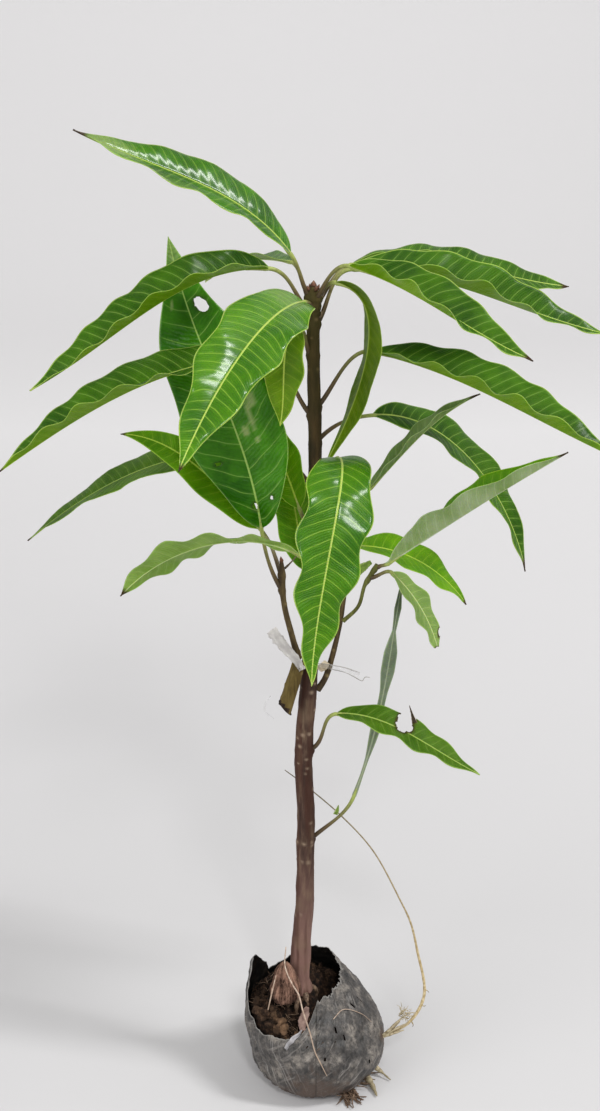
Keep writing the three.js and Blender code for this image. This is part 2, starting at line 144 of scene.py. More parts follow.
def even(curve, parts=120):
    """The same curve, by share of its length, and that length."""
    points = [curve(i / parts) for i in range(parts + 1)]
    lengths = [0.0]
    for a, b in zip(points, points[1:]):
        lengths.append(lengths[-1] + (b - a).length)

    def by_length(share):
        target = min(max(share, 0.0), 1.0) * lengths[-1]
        index = min(max(bisect_right(lengths, target) - 1, 0), parts - 1)
        rest = (target - lengths[index]) / (lengths[index + 1] - lengths[index])
        return curve((index + rest) / parts)

    return by_length, lengths[-1]


def direction(curve, share, step=1e-3):
    return (curve(min(share + step, 1)) - curve(max(share - step, 0))).normalized()


def halve(too_low, rounds):
    """The share of the way where a test turns from true to false, found by halving."""
    low, high = 0.0, 1.0
    for _ in range(rounds):
        middle = (low + high) / 2
        if too_low(middle):
            low = middle
        else:
            high = middle
    return low


def arm(along, aside, turn):
    """Unit vector away from a line at a turn round it. The line never runs in the direction aside."""
    across = along.cross(Vector(aside)).normalized()
    return across * math.cos(turn) + along.cross(across) * math.sin(turn)


def between(azimuth, middle):
    """Degrees from one azimuth to another, between -180 and 180."""
    return (azimuth - middle + 180) % 360 - 180


half_way = arc(Vector(), (0, 60), Vector((99, 0, 0)), (0, -60))(0.5)
print("half way along a test arc:", [round(v) for v in half_way])

# %% [markdown]
# ## Small tools for meshes
# Two shapes make nearly everything on a plant: a tube and a sheet. The tube is Blender's own cone with
# equal ends, cut into rings. The sheet is a grid that is extruded once into a thin closed slab. In both a
# vertex starts at a plain address, such as a share of the length and a turn round it, and one function
# moves it to its real place. That keeps the topology to Blender and the shape to a formula.

# %% Tubes, sheets and finished pieces
def tube(rings, sides, place, caps=True, skin=0):
    """A tube. place(share of the length, turn in radians) gives each point's place and its mark."""
    bm = bmesh.new()
    mark = bm.verts.layers.float.new("mark")
    bmesh.ops.create_cone(bm, cap_ends=caps, cap_tris=False, segments=sides, radius1=1, radius2=1, depth=1)
    upright = [e for e in bm.edges if abs(e.verts[0].co.z - e.verts[1].co.z) > 0.5]
    bmesh.ops.subdivide_edges(bm, edges=upright, cuts=rings - 1)
    for v in bm.verts:
        v.co, v[mark] = place(v.co.z + 0.5, math.atan2(v.co.y, v.co.x))
    for face in bm.faces:
        face.material_index = skin
    return bm


def join(parts):
    """One mesh of several."""
    whole = parts[0]
    for part in parts[1:]:
        mesh = bpy.data.meshes.new("part")
        part.to_mesh(mesh)
        part.free()
        whole.from_mesh(mesh)
        bpy.data.meshes.remove(mesh)
    return whole


def strand(curve, radius, rings, sides, roughness, skin=0):
    """A round strand along a curve, such as a root or a straw. Curve may also be a list of points."""
    curve = curve if callable(curve) else through(curve)

    def place(share, turn):
        centre = curve(share)
        size = value_along(radius, share) * (1 + roughness * noise.noise(centre / 3))
        return centre + arm(direction(curve, share), (0.31, -0.9, 0.3), turn) * size, share

    return tube(rings, sides, place, skin=skin)


def thicken(bm, skins):
    """Extrudes a flat grid once into a closed slab, with z = 1 on top and a skin for each side."""
    lifted = bmesh.ops.extrude_face_region(bm, geom=bm.faces[:], use_keep_orig=True)["geom"]
    for v in (g for g in lifted if isinstance(g, bmesh.types.BMVert)):
        v.co.z = 1
    bmesh.ops.recalc_face_normals(bm, faces=bm.faces)
    for face in bm.faces:
        face.material_index = skins[0] if face.normal.z > -0.5 else skins[1]


def ribbon(points, width, across, thickness, rows, columns, wrinkle, ragged, skin=0):
    """A strip of film or leaf through points; across is the direction of its width."""
    curve, across = through(points), Vector(across)
    bm = bmesh.new()
    mark = bm.verts.layers.float.new("mark")
    bmesh.ops.create_grid(bm, x_segments=rows, y_segments=columns, size=1)
    thicken(bm, (skin, skin))
    for v in bm.verts:
        share, side = (v.co.x + 1) / 2, v.co.y
        centre, along = curve(share), direction(curve, share)
        wide = (across - along * across.dot(along)).normalized()
        lift = wrinkle * noise.noise(Vector((share * 5, side * 1.4, centre.x / 9)))
        lift += thickness * (0.5 if v.co.z > 0.5 else -0.5)
        half = value_along(width, share) / 2 * (1 + ragged * noise.noise(Vector((share * 14, side, 4))))
        v.co = centre + wide * side * half + along.cross(wide) * lift
        v[mark] = abs(side) ** 6
    return bm


def lump(bm, middle, radii, mark):
    """Adds a rough pebble to a mesh."""
    layer = bm.verts.layers.float["mark"]
    matrix = Matrix.Translation(middle) @ Matrix.Diagonal((*radii, 1))
    for v in bmesh.ops.create_icosphere(bm, subdivisions=2, radius=1, matrix=matrix)["verts"]:
        v.co += (v.co - middle) * 0.7 * noise.noise(v.co / (0.8 * max(radii)))
        v[layer] = mark


def new_object(bm, name, materials):
    """Turns millimetres to metres and makes the mesh an object."""
    bmesh.ops.scale(bm, vec=(MM, MM, MM), verts=bm.verts)
    for face in bm.faces:
        face.smooth = True
    mesh = bpy.data.meshes.new(name)
    bm.to_mesh(mesh)
    bm.free()
    made = bpy.data.objects.new(name, mesh)
    bpy.context.collection.objects.link(made)
    for material in materials:
        mesh.materials.append(material)
    return made


def finish_piece(bm, name, materials, replaces, sharp=False):
    """Makes a mesh or a list of meshes one piece that rides with the plant."""
    bm = join(bm) if isinstance(bm, list) else bm
    for edge in bm.edges:
        edge.smooth = not (sharp and len({f.material_index for f in edge.link_faces}) > 1)
    piece = new_object(bm, name, materials)
    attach(piece, "root")
    if replaces:
        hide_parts(*replaces)
    print(f"{name}: {len(piece.data.polygons)} faces")


# %% [markdown]
# ## Small tools for materials
# A colour is written as the sRGB hex value that an eye or a colour picker gives, and turned to the linear
# values that the shader works with. `add` makes any node, sets it and links it. The short functions after
# it name the few kinds that every skin here needs, so that a material reads like a list of what lies on the
# surface: noise, a spread of values, a blend of two colours, and a relief.

# %% Colours and nodes
def colour(hex_value):
    channels = [int(hex_value[i : i + 2], 16) / 255 for i in (1, 3, 5)]
    return (*(c / 12.92 if c <= 0.04045 else ((c + 0.055) / 1.055) ** 2.4 for c in channels), 1.0)


def add(tree, kind, inputs=None, output=0, **settings):
    """Adds a node. An input that is a socket is linked, a hex colour is made linear, any other is set."""
    node = tree.nodes.new("ShaderNode" + kind)
    for name, value in settings.items():
        setattr(node, name, value)
    for key, value in (inputs or {}).items():
        if isinstance(value, bpy.types.NodeSocket):
            tree.links.new(value, node.inputs[key])
        else:
            node.inputs[key].default_value = colour(value) if isinstance(value, str) else value
    return node.outputs[output]


def attribute(tree, name):
    return add(tree, "Attribute", output="Fac", attribute_name=name)


def cloud(tree, place, scale, detail=2.0, roughness=0.5, **settings):
    """Noise in metres: a scale of 100 makes clouds of about 10 mm."""
    inputs = {"Vector": place, "Scale": scale, "Detail": detail, "Roughness": roughness}
    return add(tree, "TexNoise", inputs, "Fac", **settings)


def stretch(tree, place, scale, rotation=(0, 0, 0)):
    return add(tree, "Mapping", {"Vector": place, "Scale": scale, "Rotation": rotation})


def spread(tree, value, low, high, last=1.0, first=0.0, soft=False):
    """Spreads low to high over first to last, and holds both ends."""
    inputs = {"Value": value, "From Min": low, "From Max": high, "To Min": first, "To Max": last}
    return add(tree, "MapRange", inputs, interpolation_type="SMOOTHSTEP" if soft else "LINEAR")


def blend(tree, share, first, second, kind="MIX"):
    return add(tree, "Mix", {0: share, 6: first, 7: second}, 2, data_type="RGBA", blend_type=kind)


def calculate(tree, operation, *values):
    return add(tree, "Math", dict(enumerate(values)), operation=operation)


def shades(tree, share, *stops):
    """Colours at rising places of a ramp."""
    node = add(tree, "ValToRGB", {"Fac": share}).node
    elements = node.color_ramp.elements
    for element, (place, tint) in zip(elements, (stops[0], stops[-1])):
        element.position = place
        element.color = colour(tint)
    for place, tint in stops[1:-1]:
        elements.new(place).color = colour(tint)
    return node.outputs[0]


def relief(tree, *layers):
    """Bumps of height, strength and distance in metres, one on the other."""
    normal = {}
    for height, strength, distance in layers:
        inputs = {"Strength": strength, "Distance": distance, "Height": height, **normal}
        normal = {"Normal": add(tree, "Bump", inputs)}
    return normal["Normal"]


def start_material(name, **settings):
    """A material whose shader has these plain settings. Returns it, its tree and its Object coordinates."""
    material = bpy.data.materials.new(name)
    material.use_nodes = True
    shader = material.node_tree.nodes["Principled BSDF"]
    for key, value in settings.items():
        shader.inputs[key.replace("_", " ")].default_value = value
    return material, material.node_tree, add(material.node_tree, "TexCoord", output="Object")


def end_material(material, **sockets):
    """Links what was worked out to the shader."""
    for key, socket in sockets.items():
        shader = material.node_tree.nodes["Principled BSDF"]
        material.node_tree.links.new(socket, shader.inputs[key.replace("_", " ")])
    return material


print("leaf green in linear light:", [round(c, 3) for c in colour("#3f7012")[:3]])

# %% [markdown]
# ## Bark
# Young mango bark is a thin matt cork skin. On the rootstock it is brown with a purple cast, with upright
# streaks, grey dust and pale lenticels, the pores that let it breathe. The scion above the graft is darker
# and turns olive towards the tip. A noise that is squeezed across and stretched upright gives the streaks,
# and a broader one the stains where water ran down.
# The lenticels and the leaf cushions are real bumps in the mesh, and the colour follows them through an
# attribute that the mesh carries.

# %% Bark materials
def bark(name, dark, middle, light, pore, end=None, stain=None):
    """Streaked bark. End is a colour that it turns towards between two heights in metres, and how far."""
    material, tree, place = start_material(name, Roughness=0.8, IOR=1.45, Specular_IOR_Level=0.3)
    upright = stretch(tree, place, (1, 1, 0.16))
    streaks = cloud(tree, upright, 300.0, 6.0, 0.65)
    base = shades(tree, streaks, (0.3, dark), (0.5, middle), (0.76, light))
    if end:
        tint, *heights = end
        height = add(tree, "SeparateXYZ", {"Vector": place}, "Z")
        base = blend(tree, spread(tree, height, *heights), base, tint)
    if stain:
        run = cloud(tree, stretch(tree, place, (1, 1, 0.07)), 120.0)
        base = blend(tree, spread(tree, run, 0.47, 0.56, 0.75), base, stain)
    dust = cloud(tree, place, 55.0, 3.0)
    base = blend(tree, spread(tree, dust, 0.52, 0.75, 0.45), base, light)
    base = blend(tree, attribute(tree, "mark"), base, pore)
    grain = cloud(tree, upright, 1500.0, 4.0)
    return end_material(material, Base_Color=base, Normal=relief(tree, (grain, 0.7, 0.0004)))


old_bark = bark("mango_bark_old", "#2a1c16", "#48342b", "#77644f", "#94806c",
                end=("#9f7a70", 0.19, 0.085, 0.6), stain="#44281e")
young_bark = bark("mango_bark_young", "#150d07", "#2f2011", "#4d3a20", "#6a5a3a",
                  end=("#4b461b", 0.43, 0.58, 0.65))
shoot_bark = bark("mango_bark_shoot", "#2a1f14", "#4a3c26", "#6d5c3a", "#7f6f48")
twig_bark = bark("mango_bark_green", "#3c3a1a", "#5c5e2a", "#7b7e44", "#8d8d58")
cut_bark = bark("mango_bark_stub", "#382c12", "#5c4c24", "#7a6a3c", "#8c7c4c")
cut_wood = bark("mango_wood_weathered", "#150f0a", "#261b12", "#4a3a28", "#4a3a28")
print("bark materials ready")

# %% [markdown]
# ## Limbs
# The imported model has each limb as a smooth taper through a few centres. The same centres are written here
# again, and the tube through them gets what a smooth taper lacks: slow swellings, fine ridges, the cushion
# under every leaf stalk, pores, and the flare at the foot. All of it is worked out from noise and from the
# leaves' own places, so a leaf that moves takes its cushion along.

# %% Where the limbs run
LIMBS = {
    "rootstock": [
        (-12.6, 0, 66.3, 8.4), (-12.4, 0, 76, 7.1), (-10.9, 0, 106, 6.8), (-8.4, 0, 148, 6.4),
        (-8.1, 0, 188, 6.1), (-7.9, 0, 217, 6.0), (-9.7, 0, 246, 6.1), (-8.8, 0, 270, 6.0),
        (-6.5, 0, 304, 5.9), (-4.9, 0, 330, 5.4),
    ],
    "main_stem": [
        (-4.8, 0, 330.3, 5.2), (-3.2, 0, 367, 4.7), (-2.2, 0, 420, 4.3), (-2.6, 0, 471, 4.2),
        (-4, 0, 538, 4.0), (-4.1, 0, 565, 4.5), (-4.1, 0, 571, 1.8),
    ],
    "left_shoot": [
        (-13.0, -7.0, 328, 2.4), (-17.5, -8, 346, 1.9), (-22.5, -8, 368, 1.8), (-23.6, -8, 388, 2.4),
        (-23.8, -8, 396, 1.0),
    ],
    "right_shoot": [
        (-0.2, 0.4, 302, 2.3), (4.6, 1, 310, 2.0), (9.2, 2, 325, 1.8), (13.2, 3, 343, 1.7),
        (17, 6, 372, 1.7), (16, 8, 402, 1.9), (15.8, 8, 409, 0.9),
    ],
    "right_twig": [(16.4, 0.6, 351.5, 1.5), (26, 0, 362, 1.2), (30.5, 0, 378, 1.1), (38, 1, 391, 1.3)],
    "cut_stub": [(-12.6, -7.0, 326, 4.3), (-16.6, -9.2, 312, 4.7), (-21.8, -11.5, 295, 4.8)],
}


def limb_at(limb, share):
    """Centre, direction and radius of a limb at a share of its way."""
    points = LIMBS[limb]
    curve = through([p[:3] for p in points])
    return curve(share), direction(curve, share), value_along([p[3] for p in points], share)


def limb_at_height(limb, z):
    """The same at a height. Every limb here climbs or falls all the way."""
    climbs = LIMBS[limb][-1][2] > LIMBS[limb][0][2]
    return limb_at(limb, halve(lambda share: (limb_at(limb, share)[0].z < z) == climbs, 24))


for limb in LIMBS:
    print(limb, "ends at", [round(v) for v in limb_at(limb, 1)[0]])

# %% [markdown]
# ## The leaves' places
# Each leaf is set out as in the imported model: where it leaves its limb, where its blade begins and ends,
# how the blade is turned and folded. What is added here only shows close up: how strongly the margins wave,
# the tone of its green, holes that insects ate, and how much of the tip has dried.

# %% Leaf table
LEAF_DEFAULTS = dict(widest=0.42, foot_power=0.7, tip_power=0.95, vein_gap=6.6, sway=0.7, cup=0.1, dry=0,
                     under="yellow", holes=(), scars=())


def leaf_row(name, limb, at, leave, foot, start, tip, arrive, width, roll, fold, **look):
    """One leaf. It leaves its limb at a height and in a direction. Foot and tip are a reach, an azimuth and
    a lift from there, start and arrive the blade's directions at the two. Then come the greatest width, and
    the roll and the V fold in degrees along the blade."""
    where = dict(name=name, limb=limb, at=at, leave=leave, foot=foot, start=start, tip=tip, arrive=arrive)
    return {**LEAF_DEFAULTS, **where, "width": width, "roll": roll, "fold": fold, **look}


LEAVES = [
    # whorl round the top bud
    # the two faint pale patches on the next leaf are painted sheen
    leaf_row("crown_leaf_high_left", "main_stem", 566, (200, 60), (11, 208, 26),
             (200, 53), (138, 200, 100), (200, 28), 36, (-38, -36, -35, -32, -18), (16, 16),
             tone="shiny", wave=(1.0, 1.6), waves=4.5, dry=9, cup=0.3,
             scars=((0.87, -0.2, 48, 22, 0.6), (0.6, -0.9, 40, 6, 0.2))),
    leaf_row("crown_leaf_left", "main_stem", 556, (200, 50), (26, 209, 28),
             (203, 6), (172, 202, -34), (202, -24), 38, (-31, -2, -22), (52, 37, 40),
             tone="dark", wave=(1.0, 2.2), waves=6.5),
    leaf_row("crown_leaf_back_left", "main_stem", 561, (125, 46), (18, 127, 22),
             (124, 0), (114, 127, -3), (127, -34), 32, (4, 0), (14, 14),
             tone="dark", wave=(1.5, 1.5), waves=4, under="grey"),
    # the faint pale patch near the next leaf's foot is painted sheen
    leaf_row("crown_leaf_front", "main_stem", 560, (254, 24), (16, 253, 5),
             (250, 8), (162, 244, -62), (240, -48), 43, (-26, -18), (12, 12),
             tone="glossy", sway=2.2, wave=(1.5, 2.2), waves=4.5, dry=4, cup=0.24, foot_power=0.55,
             scars=((0.1, 0.3, 30, 24, 0.3),)),
    leaf_row("crown_leaf_front_right", "main_stem", 564, (312, 54), (21, 334, 21),
             (332, -11), (140, 330, -23), (332, -17), 38, (2, 9, 19), (44, 39, 13),
             tone="dark", wave=(2.2, 1.0), waves=5, dry=6),
    leaf_row("crown_leaf_right", "main_stem", 549, (12, 58), (21, 20, 31),
             (3, 0), (179, 4, -10), (2, -13), 39, (8, 24, 33), (46, 50, 12),
             tone="dark", wave=(2.2, 1.0), waves=5.5),
    leaf_row("crown_leaf_back_right", "main_stem", 560, (40, 44), (29, 42, 21),
             (28, 8), (188, 27, -4), (26, -8), 38, (-17, 15, 45), (21, 20, 4),
             tone="dark", wave=(2.0, 1.2), waves=5, dry=7),
    leaf_row("crown_leaf_hanging", "main_stem", 565, (356, 54), (10, 334, 9),
             (350, -8), (9, 286, -105), (190, -60), 30, (-25, -30), (8, 8),
             tone="olive", under="olive", wave=(1.0, 1.0), waves=3),
    # leaves down the main stem
    leaf_row("stem_leaf_hanging_left", "main_stem", 530, (220, 60), (9, 236, 16),
             (230, 8), (37, 243, -37), (236, -66), 26, (-20, -20), (8, 8),
             tone="olive", under="olive", wave=(1.0, 1.0), waves=3),
    leaf_row("stem_leaf_right_high", "main_stem", 497, (14, 50), (34, 12, 32),
             (348, -11), (183, 347, -23), (346, -22), 46, (8, 9, 15), (27, 36, 58),
             tone="dark", wave=(2.2, 0.9), waves=6),
    leaf_row("stem_leaf_left", "main_stem", 492, (196, 50), (29, 198, 37),
             (196, 3), (192, 195, -24), (195, -33), 41, (-19, -4, 1), (10, 31, 56),
             tone="dark", wave=(1.0, 2.2), waves=7, dry=4),
    leaf_row("stem_leaf_right_low", "main_stem", 474, (46, 30), (44, 37, 9),
             (27, -3), (153, 21, -109), (17, -76), 36, (34, 36, 52, 62), (8, 18),
             tone="dark", wave=(1.8, 1.8), waves=4, dry=10),
    leaf_row("stem_leaf_front", "main_stem", 446, (295, 56), (27, 295, 25),
             (282, 20), (92, 267, -97), (266, -86), 41, (0, 0), (6, 6),
             widest=0.36, tone="glossy", sway=2.4, wave=(1.8, 1.8), waves=5),
    leaf_row("stem_leaf_left_low", "main_stem", 436, (105, 40), (38, 141, 21),
             (162, 2), (216, 158, -58), (158, -40), 36, (-20, -20), (8, 8),
             tone="matt", wave=(1.2, 1.2), waves=4, dry=4),
    leaf_row("stem_leaf_left_under", "main_stem", 386, (245, 56), (18, 251, 18),
             (190, 37), (125, 198, 0), (190, -49), 33, (55, 24, 50, 56), (4, 4),
             widest=0.6, tone="matt", wave=(1.8, 1.8), waves=5, dry=5, under="fresh"),
    leaf_row("stem_leaf_back_upper", "main_stem", 416, (165, 40), (6, 165, 13),
             (150, 68), (33, 160, 84), (158, 72), 25, (-75, -75), (6, 6),
             tone="bright", wave=(1.2, 1.2), waves=3),
    leaf_row("stem_leaf_back_lower", "main_stem", 366, (110, 50), (12, 108, 16),
             (135, 72), (44, 124, 90), (150, 50), 28, (-60, -60), (6, 6),
             tone="bright", wave=(1.2, 1.2), waves=3),
    # the left shoot
    leaf_row("left_shoot_leaf_tall", "left_shoot", 378, (190, 62), (11, 190, 42),
             (172, 83), (70, 162, 221), (170, 80), 62, (-96, -62), (5, 5),
             tip_power=1.1, tone="old", sway=2.0, wave=(1.5, 1.5), waves=3, vein_gap=11,
             holes=((0.763, 0.5, 10, 8), (0.075, -0.1, 4.5, 3.5), (0.1, 0.6, 2.6, 2), (0.25, -0.6, 1.6, 4)),
             scars=((0.41, 0.5, 9, 7), (0.36, 0.4, 12, 5), (0.325, 0.2, 6, 5), (0.79, -0.6, 5, 1.5),
                    (0.29, 0.4, 3, 1.2), (0.985, 0, 34, 16, 0.6))),
    leaf_row("left_shoot_leaf_out", "left_shoot", 388, (128, 58), (19, 135, 26),
             (161, 43), (108, 162, 83), (166, -2), 26, (-60, -45), (8, 8),
             tone="bright", wave=(1.4, 1.4), waves=3, dry=3),
    # the right shoot and its twig
    leaf_row("right_shoot_leaf_up", "right_shoot", 402, (358, 50), (14, 358, 38),
             (2, 47), (83, 1, 100), (2, 24), 20, (0, 0), (30, 30),
             tone="dusty", wave=(1.0, 1.0), waves=4, dry=8, under="grey"),
    leaf_row("right_shoot_leaf_out", "right_shoot", 394, (40, 40), (10, 48, 4),
             (27, -8), (92, 24, -49), (23, -56), 32, (14, 36, 44), (8, 8),
             tone="bright", wave=(1.2, 1.2), waves=3, dry=4),
    leaf_row("right_twig_leaf_long", "right_twig", 389, (350, 45), (5, 343, 3),
             (338, 39), (118, 338, 90), (338, 36), 36, (-24, -22, -4, 10, 6, -16),
             (34, 38, 44, 56, 52, 34), foot_power=1.2,
             tone="bright", wave=(1.4, 1.0), waves=4, dry=7, under="silver"),
    leaf_row("right_twig_leaf_low", "right_twig", 382, (350, 10), (13, 5, 3),
             (5, -46), (46, 7, -57), (5, -76), 25, (22, 38), (8, 8),
             tone="dusty", wave=(1.2, 1.2), waves=3, under="grey",
             holes=((0.97, 0.7, 9, 6, 1), (0.8, -1, 5, 4, 1))),
    # old leaves on the rootstock
    leaf_row("rootstock_leaf_torn", "rootstock", 259, (350, 30), (17, 340, 29),
             (343, 10), (114, 343, -2), (343, -21), 26, (14, 16), (12, 12),
             tone="matt", wave=(1.4, 1.4), waves=4,
             holes=((0.43, -0.72, 10.5, 24, 1), (0.47, -0.3, 5, 6, 1), (0.395, -0.25, 3, 3, 1))),
    leaf_row("rootstock_leaf_narrow", "rootstock", 190, (10, 40), (27, 4, 31),
             (14, 70), (58, 11, 186), (14, 82), 10, (60, 100), (10, 10),
             widest=0.6, tone="pale", wave=(0.8, 0.8), waves=3, under="ash",
             lobes=(0.15, 0.2, 0.35, 0.6, 0.62, 0.66, 0.92, 0.85, 0.3, 0.6, 0.05)),
]
print(len(LEAVES), "leaves")

# %% [markdown]
# ## Limb meshes
# One function makes every limb. Its `place` adds up the layers of real bark: slow lumps, ridges that run
# up the stem, a ring where each leaf sits, a cushion under its stalk, and pores as small round blisters.

# %% Limb meshes
def cushions(limb):
    """Height and azimuth of each leaf on a limb."""
    return [(leaf["at"], math.radians(leaf["leave"][0])) for leaf in LEAVES if leaf["limb"] == limb]


def pores(limb, count, seed):
    """Seeded heights and turns for the pale pores."""
    draw = random.Random(seed)
    low, high = sorted((LIMBS[limb][0][2], LIMBS[limb][-1][2]))
    low = max(low, 125)  # the trunk's foot has none
    turns = (-math.pi, math.pi)
    return [(draw.uniform(low, high), draw.uniform(*turns), draw.uniform(0.7, 1.5)) for _ in range(count)]


def arc_length(turn, other, radius):
    """Distance round a limb between two turns."""
    gap = (turn - other + math.pi) % (2 * math.pi) - math.pi
    return gap * radius


def limb_piece(limb, material, sides, lumps, ridge, pore_count=0, seed=1, flare=0.0, last_face=None):
    points = LIMBS[limb]
    curve = through([p[:3] for p in points])
    radii = [p[3] for p in points]
    rings = round(even(curve)[1])  # one each millimetre
    seats, spots = cushions(limb), pores(limb, pore_count, seed)

    def place(share, turn):
        centre, along = curve(share), direction(curve, share)
        radius = value_along(radii, share)
        out = arm(along, (0, -1, 0), turn)
        azimuth = math.atan2(out.y, out.x)
        z = centre.z
        ring = Vector((math.cos(turn), math.sin(turn), 0))
        height = lumps * noise.noise(ring * 1.6 + Vector((0, 0, z / 16 + seed)))
        height += ridge * noise.noise(ring * 4.5 + Vector((0, 0, z / 9 + seed)))
        for seat_z, seat_azimuth in seats:
            if abs(z - seat_z) < 9:
                gap = arc_length(azimuth, seat_azimuth, radius)
                height += 0.25 * hump(z - seat_z + 2, 1.8)
                height += 1.0 * hump(z - seat_z + 1, 3.0) * hump(gap, 2.6)
        pale = 0.0
        for spot_z, spot_turn, size in spots:
            if abs(z - spot_z) < 3:
                near = hump(z - spot_z, 0.75 * size) * hump(arc_length(turn, spot_turn, radius), 0.95 * size)
                height += 0.32 * near
                pale = max(pale, near)
        if flare:
            height += flare * hump(z - points[0][2], 7) * (0.7 + 0.3 * math.sin(3 * turn + 1))
        spot = centre + out * (radius + height)
        if last_face and share > 0.999:
            normal = heading(*last_face)
            spot += along * ((centre - spot).dot(normal) / along.dot(normal))
        return spot, pale

    bm = tube(rings, sides, place)
    if last_face:
        for face in bm.faces:
            middle = face.calc_center_median()
            if (curve(1) - middle).dot(heading(*last_face)) < 1.3 + 1.2 * noise.noise(middle / 2):
                face.material_index = 1
        # the saw cut: a rim of bark round sunk, weathered wood
        caps = [face for face in bm.faces if len(face.verts) == sides]
        end = min(caps, key=lambda face: (face.calc_center_median() - curve(1)).length)
        bmesh.ops.inset_individual(bm, faces=[end], thickness=0.55, depth=-0.5, use_even_offset=True)
        end.material_index = 1
        wood = bmesh.ops.poke(bm, faces=[end], offset=-0.6)["faces"]
        for face in wood:
            face.material_index = 1
    finish_piece(bm, f"{limb}_bark", [material, cut_wood], [limb], sharp=bool(last_face))


limb_piece("rootstock", old_bark, 44, 0.6, 0.45, 52, 3, flare=1.6)
limb_piece("main_stem", young_bark, 36, 0.35, 0.3, 46, 5)
limb_piece("left_shoot", shoot_bark, 18, 0.2, 0.15, 8, 7)
limb_piece("right_shoot", shoot_bark, 18, 0.2, 0.15, 12, 9)
limb_piece("right_twig", twig_bark, 16, 0.15, 0.1)
limb_piece("cut_stub", cut_bark, 28, 0.35, 0.3, 5, 11, last_face=(180, -38))

# %% [markdown]
# ## Leaf skins
# A mango leaf is leathery. Its upper side carries a clear waxy cuticle over deep green, so it is glossy and
# shows the light as a broken streak. Underneath the wax is thin and the green paler and matt. On both sides
# the midrib, the side veins and a fine line along the margin are yellow. The blade carries six values for
# the shader: how many side veins have been passed and how far apart they are, the distances to the midrib
# and to the margin in millimetres, how dry the spot is, and how far its skin is grazed off. On two leaves
# that last value also lays broad, faint pale patches, which are painted sheen.

# %% Leaf materials
VEIN_WIDTH = 0.3  # half the width of the pale line, in millimetres
RIB_WIDTH = 0.7
RIM_WIDTH = 0.5
LEAF_VALUES = ("vein", "gap", "rib", "rim", "dry", "mark")


def leaf_skin(name, dark, light, vein, rib, roughness, vein_strength, wax_bump, wax=0.0):
    """One side of a leaf. Patches and veins lie over a mottled green, under a coat of clear wax."""
    material, tree, place = start_material(
        name, IOR=1.4, Specular_IOR_Level=0.16, Coat_Weight=wax, Coat_Roughness=0.16, Coat_IOR=1.42,
        Subsurface_Weight=0.3, Subsurface_Radius=(0.5, 1.0, 0.1), Subsurface_Scale=0.001,
    )
    base = blend(tree, spread(tree, cloud(tree, place, 38.0, 4.0, 0.55), 0.36, 0.64), dark, light)
    count, gap, to_rib, to_rim, dry, mark = (attribute(tree, value) for value in LEAF_VALUES)
    # distance to the nearest side vein: a triangle wave of the vein count, times the gap between veins
    near = calculate(tree, "MULTIPLY", calculate(tree, "PINGPONG", count, 0.5), gap)
    base = blend(tree, spread(tree, near, 0.0, 2.4, 0.0, 0.07, soft=True), base, vein)
    line = spread(tree, near, 1.6 * VEIN_WIDTH, 0.3 * VEIN_WIDTH, vein_strength, soft=True)
    line = calculate(tree, "MULTIPLY", line, spread(tree, to_rim, 0.5, 5.0, 1.0, 0.15))
    base = blend(tree, line, base, vein)
    base = blend(tree, spread(tree, to_rim, 1.6 * RIM_WIDTH, 0.6 * RIM_WIDTH, 0.65, soft=True), base, rib)
    base = blend(tree, spread(tree, to_rib, 1.25 * RIB_WIDTH, 0.6 * RIB_WIDTH, soft=True), base, rib)
    # grazed skin turns pale grey green; the broad faint patches get the same colour as painted sheen
    base = blend(tree, mark, base, "#8aa05e")
    base = blend(tree, dry, base, "#3a2a1a")
    # the fine cross veins, about 1.6 mm apart, only show where the light breaks on them
    fine = calculate(tree, "MULTIPLY", count, 4 * math.tau)
    fine = calculate(tree, "SINE", calculate(tree, "MULTIPLY_ADD", cloud(tree, place, 210.0), 9.0, fine))
    fine = calculate(tree, "MULTIPLY_ADD", cloud(tree, place, 900.0), 1.6, fine)
    return end_material(
        material, Base_Color=base, Roughness=spread(tree, dry, 0.0, 1.0, 0.85, roughness),
        Normal=relief(tree, (fine, wax_bump, 0.00012)),
    )


# the colours of the dark and light patches, the veins and the rib, then roughness, strength of the veins,
# bump and coat of wax
UPPER = {
    "glossy": ("#2f6300", "#4a7d00", "#8fb43c", "#b4ca60", 0.34, 0.5, 0.8, 0.42),
    "shiny": ("#225000", "#3a7002", "#86a840", "#aec45c", 0.34, 0.45, 0.7, 0.42),
    "dark": ("#264d00", "#3f6a06", "#86a848", "#a8be5c", 0.42, 0.4, 0.6, 0.12),
    "bright": ("#467800", "#5f9000", "#8fb030", "#a3bf44", 0.45, 0.3, 0.5),
    "matt": ("#335604", "#476a0c", "#74923a", "#94ac52", 0.5, 0.32, 0.5),
    "olive": ("#426600", "#5c7e08", "#849e30", "#a2b64c", 0.5, 0.25, 0.4),
    "old": ("#235a00", "#458310", "#86ae50", "#9cbe60", 0.34, 0.55, 0.7, 0.22),
    "dusty": ("#587038", "#6f8650", "#90a468", "#a4b67c", 0.55, 0.4, 0.5),
    "pale": ("#5a6650", "#78846c", "#8a947c", "#99a388", 0.6, 0.3, 0.5),
}
